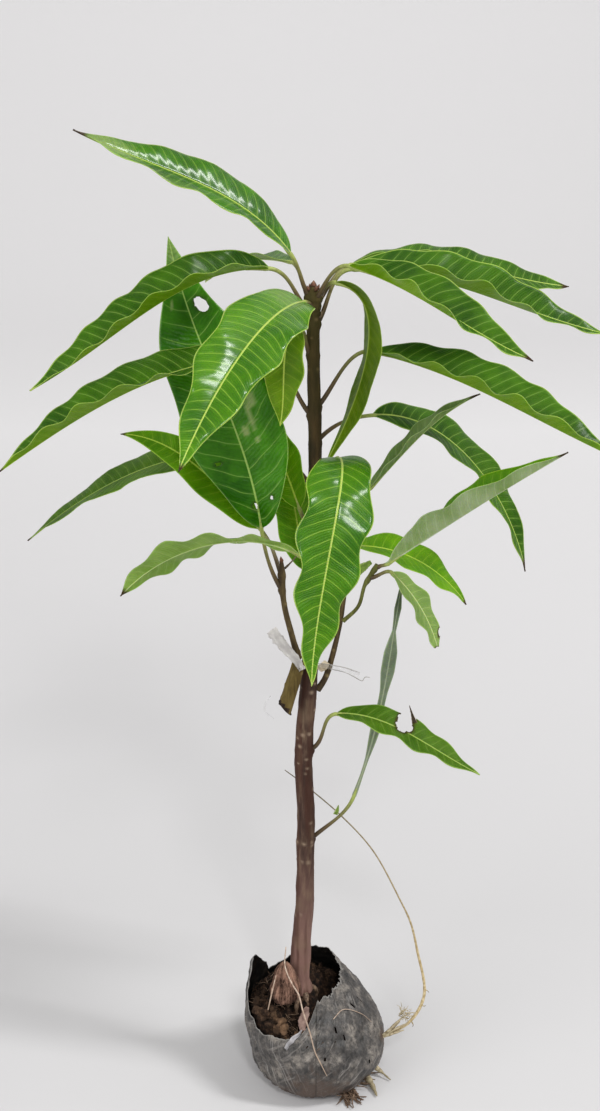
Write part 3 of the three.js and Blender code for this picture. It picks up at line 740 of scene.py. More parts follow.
UNDER = {
    "yellow": ("#5c8600", "#72980c", "#94b038", "#b0c65a", 0.5, 0.15, 0.4),
    "olive": ("#425f00", "#5a7604", "#7f9430", "#8ea246", 0.5, 0.15, 0.4),
    "grey": ("#688440", "#7d974e", "#9fb26c", "#b2c280", 0.55, 0.4, 0.4),
    "silver": ("#7c9654", "#a0b084", "#b6c49c", "#bac6a2", 0.5, 0.3, 0.5),
    "fresh": ("#73953a", "#8dab54", "#a4bc6c", "#b4c882", 0.5, 0.3, 0.4),
    "ash": ("#667058", "#828b74", "#929a84", "#a0a890", 0.6, 0.3, 0.4),
}
UPPER = {tone: leaf_skin("mango_leaf_" + tone, *values) for tone, values in UPPER.items()}
for tone, values in UNDER.items():
    UNDER[tone] = leaf_skin("mango_leaf_under" + ("" if tone == "yellow" else "_" + tone), *values)
print(len(UPPER) + len(UNDER), "leaf skins")

# %% [markdown]
# ## Leaf stalks
# The stalk is woody and brown where it swells into the stem, and turns yellow green under the blade. Its
# colour follows the `mark` value, 0 at the stem and 1 at the blade.

# %% Stalk material
def stalk_skin():
    material, tree, place = start_material("mango_stalk", Roughness=0.5, IOR=1.45)
    base = shades(tree, attribute(tree, "mark"), (0, "#3a2a18"), (0.3, "#5c4a2a"), (0.7, "#7c7c42"),
                  (1, "#9fae58"))
    speckle = cloud(tree, place, 600.0, 3.0)
    base = blend(tree, spread(tree, speckle, 0.4, 0.7, 0.4), base, "#4c4226")
    return end_material(material, Base_Color=base, Normal=relief(tree, (speckle, 0.4, 0.0002)))


stalk_material = stalk_skin()
print("stalk material ready")

# %% [markdown]
# ## Leaf blades
# Every blade starts as the same flat grid: x runs from the foot to the tip, y from the left margin to the
# right one, and columns crowd towards the midrib, where the ridge needs them. Holes are cut while the grid
# is still flat, then it is extruded once into a closed slab, and each point is moved to its place. That
# place is the midrib's arc, plus the half width of the outline, plus the small things that make it a leaf:
# the V fold, the waving margin, the quilting between side veins and the rib that stands out underneath.

# %% Leaf shape
CLEARANCE = 0.3  # between a stalk and its limb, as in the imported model
STALK_RADII = (1.6, 1.15, 1.35)
BASE_WIDTH, TIP_WIDTH, THICKNESS = 3.2, 1.0, 0.42
BLADE_COLUMNS = 26
ROW_LENGTH = 1.25  # millimetres between rows


def outline(leaf, share):
    """Share of the greatest width: narrow foot, drawn-out tip. A shrivelled leaf has its own lobes."""
    if "lobes" in leaf:
        return value_along(leaf["lobes"], smooth(0, 1, share) * 0.3 + share * 0.7)
    bend = math.log(0.5) / math.log(leaf["widest"])
    power = mix(leaf["foot_power"], leaf["tip_power"], share)
    return max(math.sin(math.pi * min(share**bend, 1.0)), 0.0) ** power


def leaf_arcs(leaf):
    """The stalk's curve, the blade's curve and the blade's length."""
    centre, along, radius = limb_at_height(leaf["limb"], leaf["at"])
    outward = heading(leaf["leave"][0])
    lean = abs(along.dot(outward)) / along.z
    surface = radius * math.hypot(1, lean) + STALK_RADII[0] * lean
    start = centre + outward * (surface + CLEARANCE)

    def offset(reach, azimuth, lift):
        return start + heading(azimuth) * reach + Vector((0, 0, lift))

    foot, tip = offset(*leaf["foot"]), offset(*leaf["tip"])
    stalk, _ = even(arc(start - outward * 1.2, leaf["leave"], foot, leaf["start"]))
    blade, length = even(arc(foot, leaf["start"], tip, leaf["arrive"]))
    return stalk, blade, length


def blade_frames(leaf, blade, length, rows):
    """For each row: centre, right-hand direction, up direction and half the width."""
    level = heading(leaf["start"][0] - 90)
    frames = []
    for row in range(rows + 1):
        share = row / rows
        along = direction(blade, share)
        right = (level - along * level.dot(along)).normalized()
        right.rotate(Matrix.Rotation(math.radians(value_along(leaf["roll"], share)), 3, along))
        narrow = mix(BASE_WIDTH, TIP_WIDTH, share) / 2
        half = max(narrow * smooth(1.0, 0.97, share), leaf["width"] / 2 * outline(leaf, share), 0.15)
        frames.append((blade(share), right, right.cross(along), half))
    return frames


def cut_holes(bm, leaf, length, frames, rows):
    """Takes out the faces inside each hole, and rounds what is left of its edge."""
    for share, across, long, wide, *_ in leaf["holes"]:
        half = frames[round(share * rows)][3]

        def reach(x, y):
            ragged = 1 + 0.25 * noise.noise(Vector((x * length / 2.5, y * half / 2.5, share * 30)))
            return math.hypot((x - share) * length / (long / 2), (y - across) * half / (wide / 2)) * ragged

        inside = [f for f in bm.faces if reach(*f.calc_center_median().xy) < 1]
        bmesh.ops.delete(bm, geom=inside, context="FACES")
        for v in bm.verts:
            distance = reach(*v.co.xy)
            if v.is_boundary and 0.2 < distance < 1.6 and abs(v.co.y) < 0.999:
                v.co.x = share + (v.co.x - share) / distance
                v.co.y = across + (v.co.y - across) / distance


def leaf_piece(leaf, number):
    stalk, blade, length = leaf_arcs(leaf)
    rows = round(length / ROW_LENGTH)
    frames = blade_frames(leaf, blade, length, rows)
    gap, waves = leaf["vein_gap"], math.tau * leaf["waves"]
    phase = number * 1.7
    bm = bmesh.new()
    layers = [bm.verts.layers.float.new(name) for name in LEAF_VALUES]
    bmesh.ops.create_grid(bm, x_segments=rows, y_segments=BLADE_COLUMNS, size=1)
    for v in bm.verts:
        v.co.x = (v.co.x + 1) / 2
        v.co.y = math.copysign(abs(v.co.y) ** 1.5, v.co.y)
    cut_holes(bm, leaf, length, frames, rows)
    thicken(bm, (0, 1))
    for v in bm.verts:
        share, across, top = v.co.x, v.co.y, v.co.z > 0.5
        place = min(max(share * rows, 0.0), rows - 1e-6)
        first, second = frames[int(place)], frames[int(place) + 1]
        centre, right, up, half = (mix(first[i], second[i], place % 1) for i in range(4))
        out = abs(across)
        side = 1 if across > 0 else -1
        inside = min(max(share, 0.0), 1.0)
        fold = math.radians(value_along(leaf["fold"], inside))
        ends = math.sin(math.pi * inside) ** 0.6
        mm_along, mm_out = share * length, out * half
        # side veins leave the midrib at about 65 degrees and bend towards the tip
        count = (mm_along - half * (0.42 * out + 0.2 * out * out)) / gap + (0.5 if side > 0 else 0.0)
        count += 0.22 * noise.noise(Vector((mm_along / 10, 3 * side, phase))) * smooth(0, 0.4, out)
        quilt = 0.2 * abs(math.sin(math.pi * count)) ** 0.6
        quilt *= smooth(0.02, 0.3, out) * (1 - 0.5 * smooth(0.6, 1, out)) * min(1, half / 12)
        swing = math.sin(waves * share + phase + (1.9 if side > 0 else 0))
        swing += 0.5 * noise.noise(Vector((mm_along / 11, side, phase)))
        ripple = leaf["wave"][0 if side > 0 else 1] * out**2.2 * ends * swing
        sway = leaf["sway"] * out * out * ends * math.sin(waves * share * 0.9 + phase * side)
        crease = math.sqrt(out * out + 0.0016) - 0.04
        rise = half * (crease * math.sin(fold) + leaf["cup"] * (crease - out * out)) + ripple
        normal = up * math.cos(fold) - right * (side * math.sin(fold) * smooth(0, 0.15, out))
        rib = mix(1.5, 0.5, share)
        ridge = hump(mm_out, rib * 0.6)
        depth = THICKNESS / 2 * mix(1, 0.6, out)
        depth = depth + 0.25 * ridge if top else -(depth + 0.75 * rib * ridge)
        aside = (across * half + side * sway) * math.cos(fold)
        v.co = centre + right * aside + up * rise + normal * (quilt + depth)
        spot = (leaf, share, across, length, half)
        values = (count, gap, mm_out / mix(1.0, 0.55, share), half - mm_out, dryness(*spot), grazed_and_sheen(*spot))
        for layer, value in zip(layers, values):
            v[layer] = value
    skins = [UPPER[leaf["tone"]], UNDER[leaf["under"]], stalk_material]
    parts = [bm, leaf_stalk(stalk, blade, frames, length)]
    finish_piece(parts, f"{leaf['name']}_blade", skins, [leaf["name"]], sharp=True)


def dryness(leaf, share, across, length, half):
    """1 where the blade is dead and brown: at the tip and round a hole."""
    value = 0.0
    if leaf["dry"]:
        value = smooth(leaf["dry"] + 2, leaf["dry"] * 0.6, (1 - share) * length)
    for place, side, long, wide, *dead in leaf["holes"]:
        reach = math.hypot((share - place) * length / (long / 2 + 1), (across - side) * half / (wide / 2 + 1))
        value = max(value, (0.9 if dead else 0.35) * smooth(1.2, 0.95, reach))
    return value


def grazed_and_sheen(leaf, share, across, length, half):
    """1 where the skin has been grazed off and the blade is pale, and where a faint broad patch paints sheen.
    """
    value = 0.0
    for place, side, long, wide, *faint in leaf["scars"]:
        along, sideways = (share - place) * length, (across - side) * half
        reach = math.hypot(along / (long / 2), sideways / (wide / 2))
        reach += 0.5 * noise.noise(Vector((along / 2.2, sideways / 2.2, place * 40)))
        # a faint entry is a broad pale patch: painted sheen on the high left and front crown leaves
        if faint:
            value = max(value, faint[0] * smooth(1.3, 0.4, reach))
        else:
            value = max(value, smooth(1.15, 0.85, reach))
    return value


def leaf_stalk(stalk, blade, frames, length):
    """The stalk, carried on under the first stretch of the blade, where it thins out into the midrib."""
    run = 14.0  # millimetres under the blade
    stalk_length = even(stalk)[1]
    turning = stalk_length / (stalk_length + run)

    def centre(share):
        if share <= turning:
            return stalk(share / turning)
        along = (share - turning) / (1 - turning) * run / length
        return blade(along) - frames[round(along * (len(frames) - 1))][2] * 0.45

    def place(share, turn):
        if share <= turning:
            radius = value_along(STALK_RADII, share / turning)
        else:
            radius = mix(STALK_RADII[2], 0.5, (share - turning) / (1 - turning))
        away = arm(direction(centre, share, 0.01), (0.2, 0.1, 1), turn)
        return centre(share) + away * radius, min(share / turning, 1.0)

    return tube(26, 12, place, skin=2)  # the third material of a leaf


for number, leaf in enumerate(LEAVES):
    leaf_piece(leaf, number)

# %% [markdown]
# ## The bag
# The bag is thin black polythene, grey with dust and dried mud, and it has been handled a lot. It is one
# lofted shell: each column runs from the flat foot over the belly to the torn edge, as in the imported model,
# and the film is crumpled by noise. Ridged noise makes creases that are sharp on one side, as film has.

# %% Bag profile
BAG = dict(foot=(35, 0), heel=(44, 9), belly=(49, 29), shoulder=(3, 2))
TORN_EDGE = [  # azimuth, radius and height of the film's edge
    (0, 19, 72), (45, 26, 75), (80, 30, 80), (112, 37, 76), (145, 43, 70), (173, 47, 86),
    (197, 48, 70), (222, 48, 58), (250, 45, 52), (272, 38, 56), (292, 25, 64), (325, 17, 70),
]


def station(table, azimuth, soft=False):
    """The two values of a table that runs round the bag, at an azimuth."""
    turn = azimuth % 360
    index = max(i for i, row in enumerate(table) if row[0] <= turn)
    start, end = table[index], table[(index + 1) % len(table)]
    share = (turn - start[0]) / ((end[0] - start[0]) % 360)
    share = smooth(0, 1, share) if soft else share
    return mix(start[1], end[1], share), mix(start[2], end[2], share)


def torn_edge(azimuth):
    """Radius and height of the torn edge at an azimuth."""
    return station(TORN_EDGE, azimuth, soft=True)


def wall_curve(azimuth, *beyond):
    """The bag's outside at an azimuth, from the foot to the torn edge and to any point beyond it."""
    radius, z = torn_edge(azimuth)
    belly, shoulder = BAG["belly"], BAG["shoulder"]
    middle = ((belly[0] + radius) / 2 + shoulder[0], (belly[1] + z) / 2 + shoulder[1])
    profile = [BAG["foot"], BAG["heel"], belly, middle, (radius, z), *beyond]
    return through([heading(azimuth) * r + Vector((0, 0, h)) for r, h in profile])


def wall_point(azimuth, share, depth=0.0):
    curve = wall_curve(azimuth)
    inward = direction(curve, share).cross(heading(azimuth + 90)).normalized()
    return curve(share) + inward * depth, -inward


WALL_LENGTH = 75  # millimetres along the wall, from the foot to the torn edge
LIP = [  # azimuth, and how far inwards and up the loose film reaches beyond that edge
    (0, 3.5, 2.5), (30, 5.5, 0.8), (50, 4, 2.5), (70, 2, 2.5), (90, 0.6, 2.5), (108, 0.3, 1), (120, 0, -5),
    (139, 0, -8), (147, 0.4, 3), (160, 1.2, 4.5), (172, 2.6, 4.5), (181, 1.5, 2.5), (187, 0.5, -2),
    (194, 0, -10), (206, 0, -11), (217, 0, -10), (230, 0, -4), (242, 0.3, 0.6), (249, 1, 2), (255, 4, 4.5),
    (260, 9, 7.5), (266, 17, 11.5), (272, 20.5, 13), (280, 16, 11), (292, 9, 8), (305, 5, 6), (325, 2, 4),
]


def film_curve(azimuth):
    """The wall with its lip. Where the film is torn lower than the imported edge, the curve ends sooner."""
    inward, lift = station(LIP, azimuth)
    if lift < 0.5:
        curve = wall_curve(azimuth)
        last = 1 + (lift - 0.5) / WALL_LENGTH
        return lambda share: curve(share * last)
    radius, z = torn_edge(azimuth)
    return even(wall_curve(azimuth, (radius - inward, z + lift)), 60)[0]


print("torn edge at the front left:", [round(v) for v in torn_edge(235)])

# %% [markdown]
# ### Film
# The outside is black film under a skin of grey-brown dust. The pale lines along its creases, pleats and
# slanting folds, and the pale tops of its specks, are painted sheen. The inside stays nearly black. The pale
# line along the torn edge is where the film is stretched thin.

# %% Film materials
def film_outside():
    material, tree, place = start_material("polythene_dust_and_sheen", IOR=1.5)
    dust = cloud(tree, place, 85.0, 8.0, 0.74)
    base = shades(tree, dust, (0.36, "#1f1e1d"), (0.5, "#4a4643"), (0.65, "#878078"))
    speck = cloud(tree, stretch(tree, place, (1, 1, 0.4)), 420.0, 5.0, 0.7)
    base = blend(tree, spread(tree, speck, 0.5, 0.34, 0.8), base, "#191817")
    base = blend(tree, attribute(tree, "mud"), base, "#4d3e34")
    # the raised tops of the specks are lightened: painted highlight
    base = blend(tree, spread(tree, speck, 0.6, 0.75, 0.5), base, "#8f8a87")
    # pale lines along the pleats where the film is gathered: painted sheen
    height = add(tree, "SeparateXYZ", {"Vector": place}, "Z")
    unrolled = add(tree, "CombineXYZ", {"X": attribute(tree, "turn"), "Y": height})
    pleat_sheen = cloud(tree, stretch(tree, unrolled, (0.75, 14, 1)), 1.0, 3.0, 0.6)
    pale = calculate(tree, "MULTIPLY", spread(tree, pleat_sheen, 0.56, 0.66, 0.75), attribute(tree, "gather"))
    base = blend(tree, pale, base, "#96938f")
    # slanting folds a few millimetres apart, in patches, with painted sheen along their crests
    slant_folds_and_sheen = stretch(tree, unrolled, (1, 1000, 1), (0, 0, -0.55))
    slant_folds_and_sheen = cloud(tree, stretch(tree, slant_folds_and_sheen, (0.035, 0.34, 1)), 1.0, 4.0, 0.6)
    patch = spread(tree, cloud(tree, place, 34.0, 1.0), 0.42, 0.58)
    pale = calculate(tree, "MULTIPLY", spread(tree, slant_folds_and_sheen, 0.56, 0.68, 0.6), patch)
    base = blend(tree, pale, base, "#a29c96")
    base = blend(tree, attribute(tree, "mark"), base, "#9c9995")
    crease = cloud(tree, place, 95.0, 5.0, 0.6, noise_type="RIDGED_MULTIFRACTAL")
    # the ridges of the creases are lightened: painted highlight
    base = blend(tree, spread(tree, crease, 0.6, 0.95, 0.7), base, "#9d9792")
    return end_material(
        material, Base_Color=base, Roughness=spread(tree, dust, 0.35, 0.6, 0.7, 0.36),
        Normal=relief(tree, (speck, 0.6, 0.0006), (crease, 0.9, 0.0016), (slant_folds_and_sheen, 0.8, 0.0012)),
    )


def film_inside():
    material, tree, place = start_material("polythene_black", Roughness=0.4, IOR=1.5)
    dirt = spread(tree, cloud(tree, place, 130.0, 5.0), 0.5, 0.72, 0.6)
    return end_material(material, Base_Color=blend(tree, dirt, "#121110", "#3c332c"))


film_dust_and_sheen, black_film = film_outside(), film_inside()
print("film materials ready")

# %% Bag mesh
FILM = 0.45  # thickness of the film; real film is thinner still
BAG_COLUMNS, BAG_ROWS = 190, 62
SLITS = ((292, 0.85, 1.8, 0.6), (300, 0.76, 1.8, 0.7), (336, 0.86, 1.6, 0.6), (352, 0.84, 1.8, 0.6),
         (318, 0.5, 1.4, 0.8), (276, 0.68, 1.6, 0.6))  # azimuth, share of the height, length and width


def crumple(point, azimuth, share):
    """How far the film stands out from the smooth wall, in millimetres."""
    height = 1.5 * noise.noise(point / 17)
    height += 0.9 * (0.5 - abs(noise.noise(point / 8 + Vector((9, 0, 0))))) * 2 - 0.5
    height += 0.9 * (0.5 - abs(noise.noise(Vector((point.x / 4.4, point.y / 4.4, point.z / 9)))))
    # gathers run down from the loose flap on the left
    gathers = hump(between(azimuth, 215), 26) * smooth(1.0, 0.8, share) * smooth(0.05, 0.3, share)
    height += 1.5 * gathers * (abs(math.sin(math.radians(azimuth) * 17 + 2.6 * share)) - 0.5)
    return height * smooth(0.0, 0.12, share)


def bag_piece():
    films = {}  # one curve for each column

    def place(share, turn):
        azimuth = math.degrees(turn) % 360
        ragged = 0.03 * noise.noise(Vector((azimuth / 5.5, 3, 0)))
        ragged += 0.018 * noise.noise(Vector((azimuth / 1.7, 5, 0)))
        column = round(azimuth * 10)
        if column not in films:
            films[column] = film_curve(azimuth)
        curve = films[column]
        along = min(share * (1 + ragged * share**6 - 0.01), 1.0)
        point = curve(along)
        out = heading(azimuth + 90).cross(direction(curve, along, 0.01)).normalized()
        spot = point + out * crumple(point, azimuth, share)
        spot.z = max(spot.z, 0.0)
        return spot, 0.7 * smooth(0.982, 1.0, share)

    bm = tube(BAG_ROWS, BAG_COLUMNS, place, caps=False)
    slit_faces = set()
    for azimuth, share, long, wide in SLITS:
        middle = wall_point(azimuth, share)[0]
        for face in bm.faces:
            gap = face.calc_center_median() - middle
            if abs(gap.dot(heading(azimuth + 90))) < wide and abs(gap.z) < long and gap.length < 6:
                slit_faces.add(face)
    bmesh.ops.delete(bm, geom=list(slit_faces), context="FACES")
    mud, turned, gathered = (bm.verts.layers.float.new(name) for name in ("mud", "turn", "gather"))
    for v in bm.verts:
        azimuth = math.degrees(math.atan2(v.co.y, v.co.x))
        v[turned] = 0.85 * ((azimuth - 270) % 360) + 0.35 * v.co.z
        v[gathered] = hump(between(azimuth, 222), 30)
        blotch = noise.noise(v.co / 6) + 0.6 * noise.noise(v.co / 2.2)
        v[mud] = max(
            smooth(0.2, 0.8, hump((v.co - Vector((0, -44, 8))).length, 24) + 0.35 * blotch),
            0.8 * smooth(0.3, 0.8, hump(v.co.z, 14) + 0.4 * blotch),
            smooth(0.3, 0.8, hump((v.co - Vector((48, -8, 30))).length, 9) + 0.3 * blotch),
        )
    foot = [e for e in bm.edges if e.is_boundary and max(v.co.z for v in e.verts) < 0.5]
    floor = bmesh.ops.edgeloop_fill(bm, edges=foot)["faces"]
    bmesh.ops.poke(bm, faces=floor)
    bmesh.ops.recalc_face_normals(bm, faces=bm.faces)
    if sum(f.normal.dot(f.calc_center_median() - Vector((0, 0, 30))) for f in bm.faces) < 0:
        bmesh.ops.reverse_faces(bm, faces=bm.faces)
    inner = bmesh.ops.solidify(bm, geom=bm.faces[:], thickness=FILM)["geom"]
    for face in (g for g in inner if isinstance(g, bmesh.types.BMFace)):
        face.material_index = 1
    print("lowest point of the film:", round(min(v.co.z for v in bm.verts), 2), "mm")
    finish_piece(bm, "bag_film", [film_dust_and_sheen, black_film], ["nursery_bag"])


bag_piece()

# %% [markdown]
# ## The root ball
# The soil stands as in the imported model, a mound inside the film that is highest round the trunk. Here its
# surface gets its relief: a washed-out pit in front of the trunk, the dark hollow under the hood of film on
# the right, a bank of lumps behind the torn front edge, and crumbs down to a millimetre.

# %% Soil materials
def earth(name, dark, middle, light, lump_colour, scale):
    """Crumbly soil. The mark value turns it towards the colour of the drier lumps."""
    material, tree, place = start_material(name, Roughness=0.95, Specular_IOR_Level=0.2)
    grain = cloud(tree, place, scale, 7.0, 0.7)
    base = shades(tree, grain, (0.38, dark), (0.52, middle), (0.68, light))
    base = blend(tree, attribute(tree, "mark"), base, lump_colour)
    # the hollows of the grain's relief are darkened and its tops lightened: painted shade and light
    base = blend(tree, 1.0, base, spread(tree, grain, 0.3, 0.65, 1.1, 0.4), "MULTIPLY")
    return end_material(material, Base_Color=base, Normal=relief(tree, (grain, 0.9, 0.0008)))


def fibre(name, dark, light, tip):
    """A dry root or straw: streaks along it, and a darker far end that the mark value reaches."""
    material, tree, place = start_material(name, Roughness=0.6, Specular_IOR_Level=0.3)
    streak = cloud(tree, place, 500.0, 4.0)
    base = blend(tree, spread(tree, streak, 0.38, 0.62), dark, light)
    base = blend(tree, spread(tree, attribute(tree, "mark"), 0.3, 0.9, 0.9), base, tip)
    return end_material(material, Base_Color=base, Normal=relief(tree, (streak, 0.4, 0.0002)))


soil_earth = earth("potting_soil", "#0f0b08", "#2a1c14", "#4c3a2c", "#7a5f48", 260.0)
husk_fibre = earth("mango_seed_husk", "#23160f", "#5a4136", "#86685a", "#a07c6a", 190.0)
pale_straw = fibre("dry_straw", "#8a7b5c", "#d0c3a4", "#b3a588")
fat_root = fibre("pale_root", "#7d725a", "#b5a88a", "#8f8468")
long_root = fibre("dry_root", "#a38e62", "#cfbd95", "#5a5140")
thin_root = fibre("thin_root", "#9a8372", "#c9b5a4", "#a8927f")
brown_root = fibre("brown_rootlets", "#4a382c", "#86705c", "#6a5646")
print("soil and root materials ready")

# %% Soil
SOIL = dict(level=66, foot=(-12.6, 0), foot_radius=13, inset=3.4)
SIDE = 0.2  # share of the rings that stand along the film
PITS = ((-15, -21, 9.0, 20), (10, 5, 12, 20), (-33, -30, 6, 4))  # x, y, reach and depth


def wall_at_height(azimuth, z, depth):
    """The point at a height, some depth in from the outside of the film."""
    share = halve(lambda share: wall_point(azimuth, share, depth)[0].z < z, 14)
    return wall_point(azimuth, share, depth)[0]


def soil_edge(azimuth):
    """Height of the soil at the film: lower where the film lies over it on the right."""
    covered = smooth(70, 110, abs(between(azimuth, 145)))
    return mix(SOIL["level"] - 8, SOIL["level"] - 20, covered), covered


def soil_top(azimuth, share):
    """A point of the surface, from the film at 0 to the trunk's foot at 1, and how pale its lump is."""
    edge_z, covered = soil_edge(azimuth)
    edge = wall_at_height(azimuth, edge_z, SOIL["inset"])
    foot = Vector((*SOIL["foot"], SOIL["level"]))
    patch = foot + heading(azimuth) * SOIL["foot_radius"]
    point = edge.lerp(patch, min(share, 1.0))
    point.z = mix(edge_z, SOIL["level"], 1 - (1 - min(share, 1.0)) ** mix(2.4, 1.0, covered))
    if share > 1:
        point = patch.lerp(foot, (share - 1) * 0.8)
    away = (point.xy - foot.xy).length
    free = smooth(9.5, 13.5, away)
    for x, y, reach, depth in PITS:
        point.z -= depth * free * hump((point.xy - Vector((x, y))).length, reach)
    bank = hump(between(azimuth, 240), 34) * hump(share - 0.12, 0.22)
    clods = noise.noise(point / 6.5) + 0.55 * noise.noise(point / 3)
    point.z += free * (2.6 * clods + (2.5 + 3 * clods) * bank)
    point.z += free * (0.9 * noise.noise(point / 1.5) + 0.5 * noise.noise(point / 0.8))
    return point, 0.75 * bank * smooth(-0.1, 0.5, clods)


def soil_piece():
    def place(share, turn):
        azimuth = math.degrees(turn) % 360
        if share < SIDE:
            z = mix(2.0, soil_edge(azimuth)[0] - 3, share / SIDE)
            return wall_at_height(azimuth, z, SOIL["inset"]), 0.0
        return soil_top(azimuth, (share - SIDE) / 0.8 * 1.2)

    return tube(96, 250, place)


def crumbs(bm, seed, count):
    """Loose crumbs and clods on the surface, mostly small."""
    draw = random.Random(seed)
    for _ in range(count):
        azimuth, share = draw.uniform(0, 360), draw.random() ** 1.4 * 0.9
        size = 0.5 + 1.7 * draw.random() ** 3
        if draw.random() < 0.5:
            azimuth = draw.gauss(238, 26)
            share *= 0.5
            size *= 1.5
        spot, pale = soil_top(azimuth, share)
        radii = [size * draw.uniform(0.7, 1.2) for _ in range(3)]
        mark = min(1.0, pale + draw.uniform(0, 0.5) ** 2)
        lump(bm, spot + Vector((0, 0, 0.3 * size)), radii, mark)


soil = soil_piece()
crumbs(soil, 21, 520)
finish_piece(soil, "potting_soil", [soil_earth], ["root_ball"])

# %% [markdown]
# ### Husk, roots and straws
# The fibrous husk of the seed still sits beside the trunk. Thin roots run over it and over the film, straws
# stick out of a hole in the right side, and rootlets come out at the foot.

# %% Husk, roots and straws
def husk_piece():
    low, top = Vector((-21.6, -15, 67)), Vector((-22.8, -10.5, 96))

    def place(share, turn):
        centre = low.lerp(top, share)
        size = value_along((7.5, 10.5, 10.3, 8.6, 6.8, 4.6, 1.6), share)
        around = Vector((math.cos(turn), math.sin(turn), 0))
        size += 1.5 * noise.noise(Vector((around.x * 1.4, around.y * 1.4, share * 3)))
        fibres = noise.noise(Vector((around.x * 7, around.y * 7, share * 1.6)))
        size += 1.0 * fibres + 0.5 * noise.noise(Vector((around.x * 16, around.y * 16, share * 5)))
        ends = smooth(0.3, 0.0, share) * 3.5 * noise.noise(around * 3.1)
        point = centre + Vector((around.x * size, around.y * size * 0.72, ends))
        return point, smooth(-0.1, 0.6, fibres + 0.4 * share)

    parts = [tube(46, 110, place)]
    draw = random.Random(5)
    for _ in range(46):
        turn, start = draw.uniform(-math.pi, math.pi), draw.uniform(0.0, 0.6)
        points = [place(min(start + step * 0.13, 1), turn + draw.uniform(-0.1, 0.1))[0] for step in range(4)]
        push = Vector((math.cos(turn), math.sin(turn), 0)) * 0.5
        parts.append(strand([p + push * (1 + draw.random()) for p in points], (0.3, 0.15), 10, 5, 0.3))
    finish_piece(parts, "seed_husk", [husk_fibre], ())


def on_film(azimuth, share):
    """A point just off the crumpled film."""
    point, out = wall_point(azimuth, share)
    return point + out * (max(crumple(point, azimuth, share), 0) + 0.6)


def jitter(draw, *reach):
    """A seeded offset of up to a reach along x, y and z."""
    return Vector([draw.uniform(-r, r) for r in reach])


def fray(draw, start, aim, length, bend):
    """A curve that leaves a point roughly towards an aim and wanders."""
    points = [Vector(start)]
    way = Vector(aim).normalized()
    for _ in range(3):
        way = (way + jitter(draw, bend, bend, bend)).normalized()
        points.append(points[-1] + way * length / 3)
    return through([Vector((p.x, p.y, max(p.z, 0.6))) for p in points])


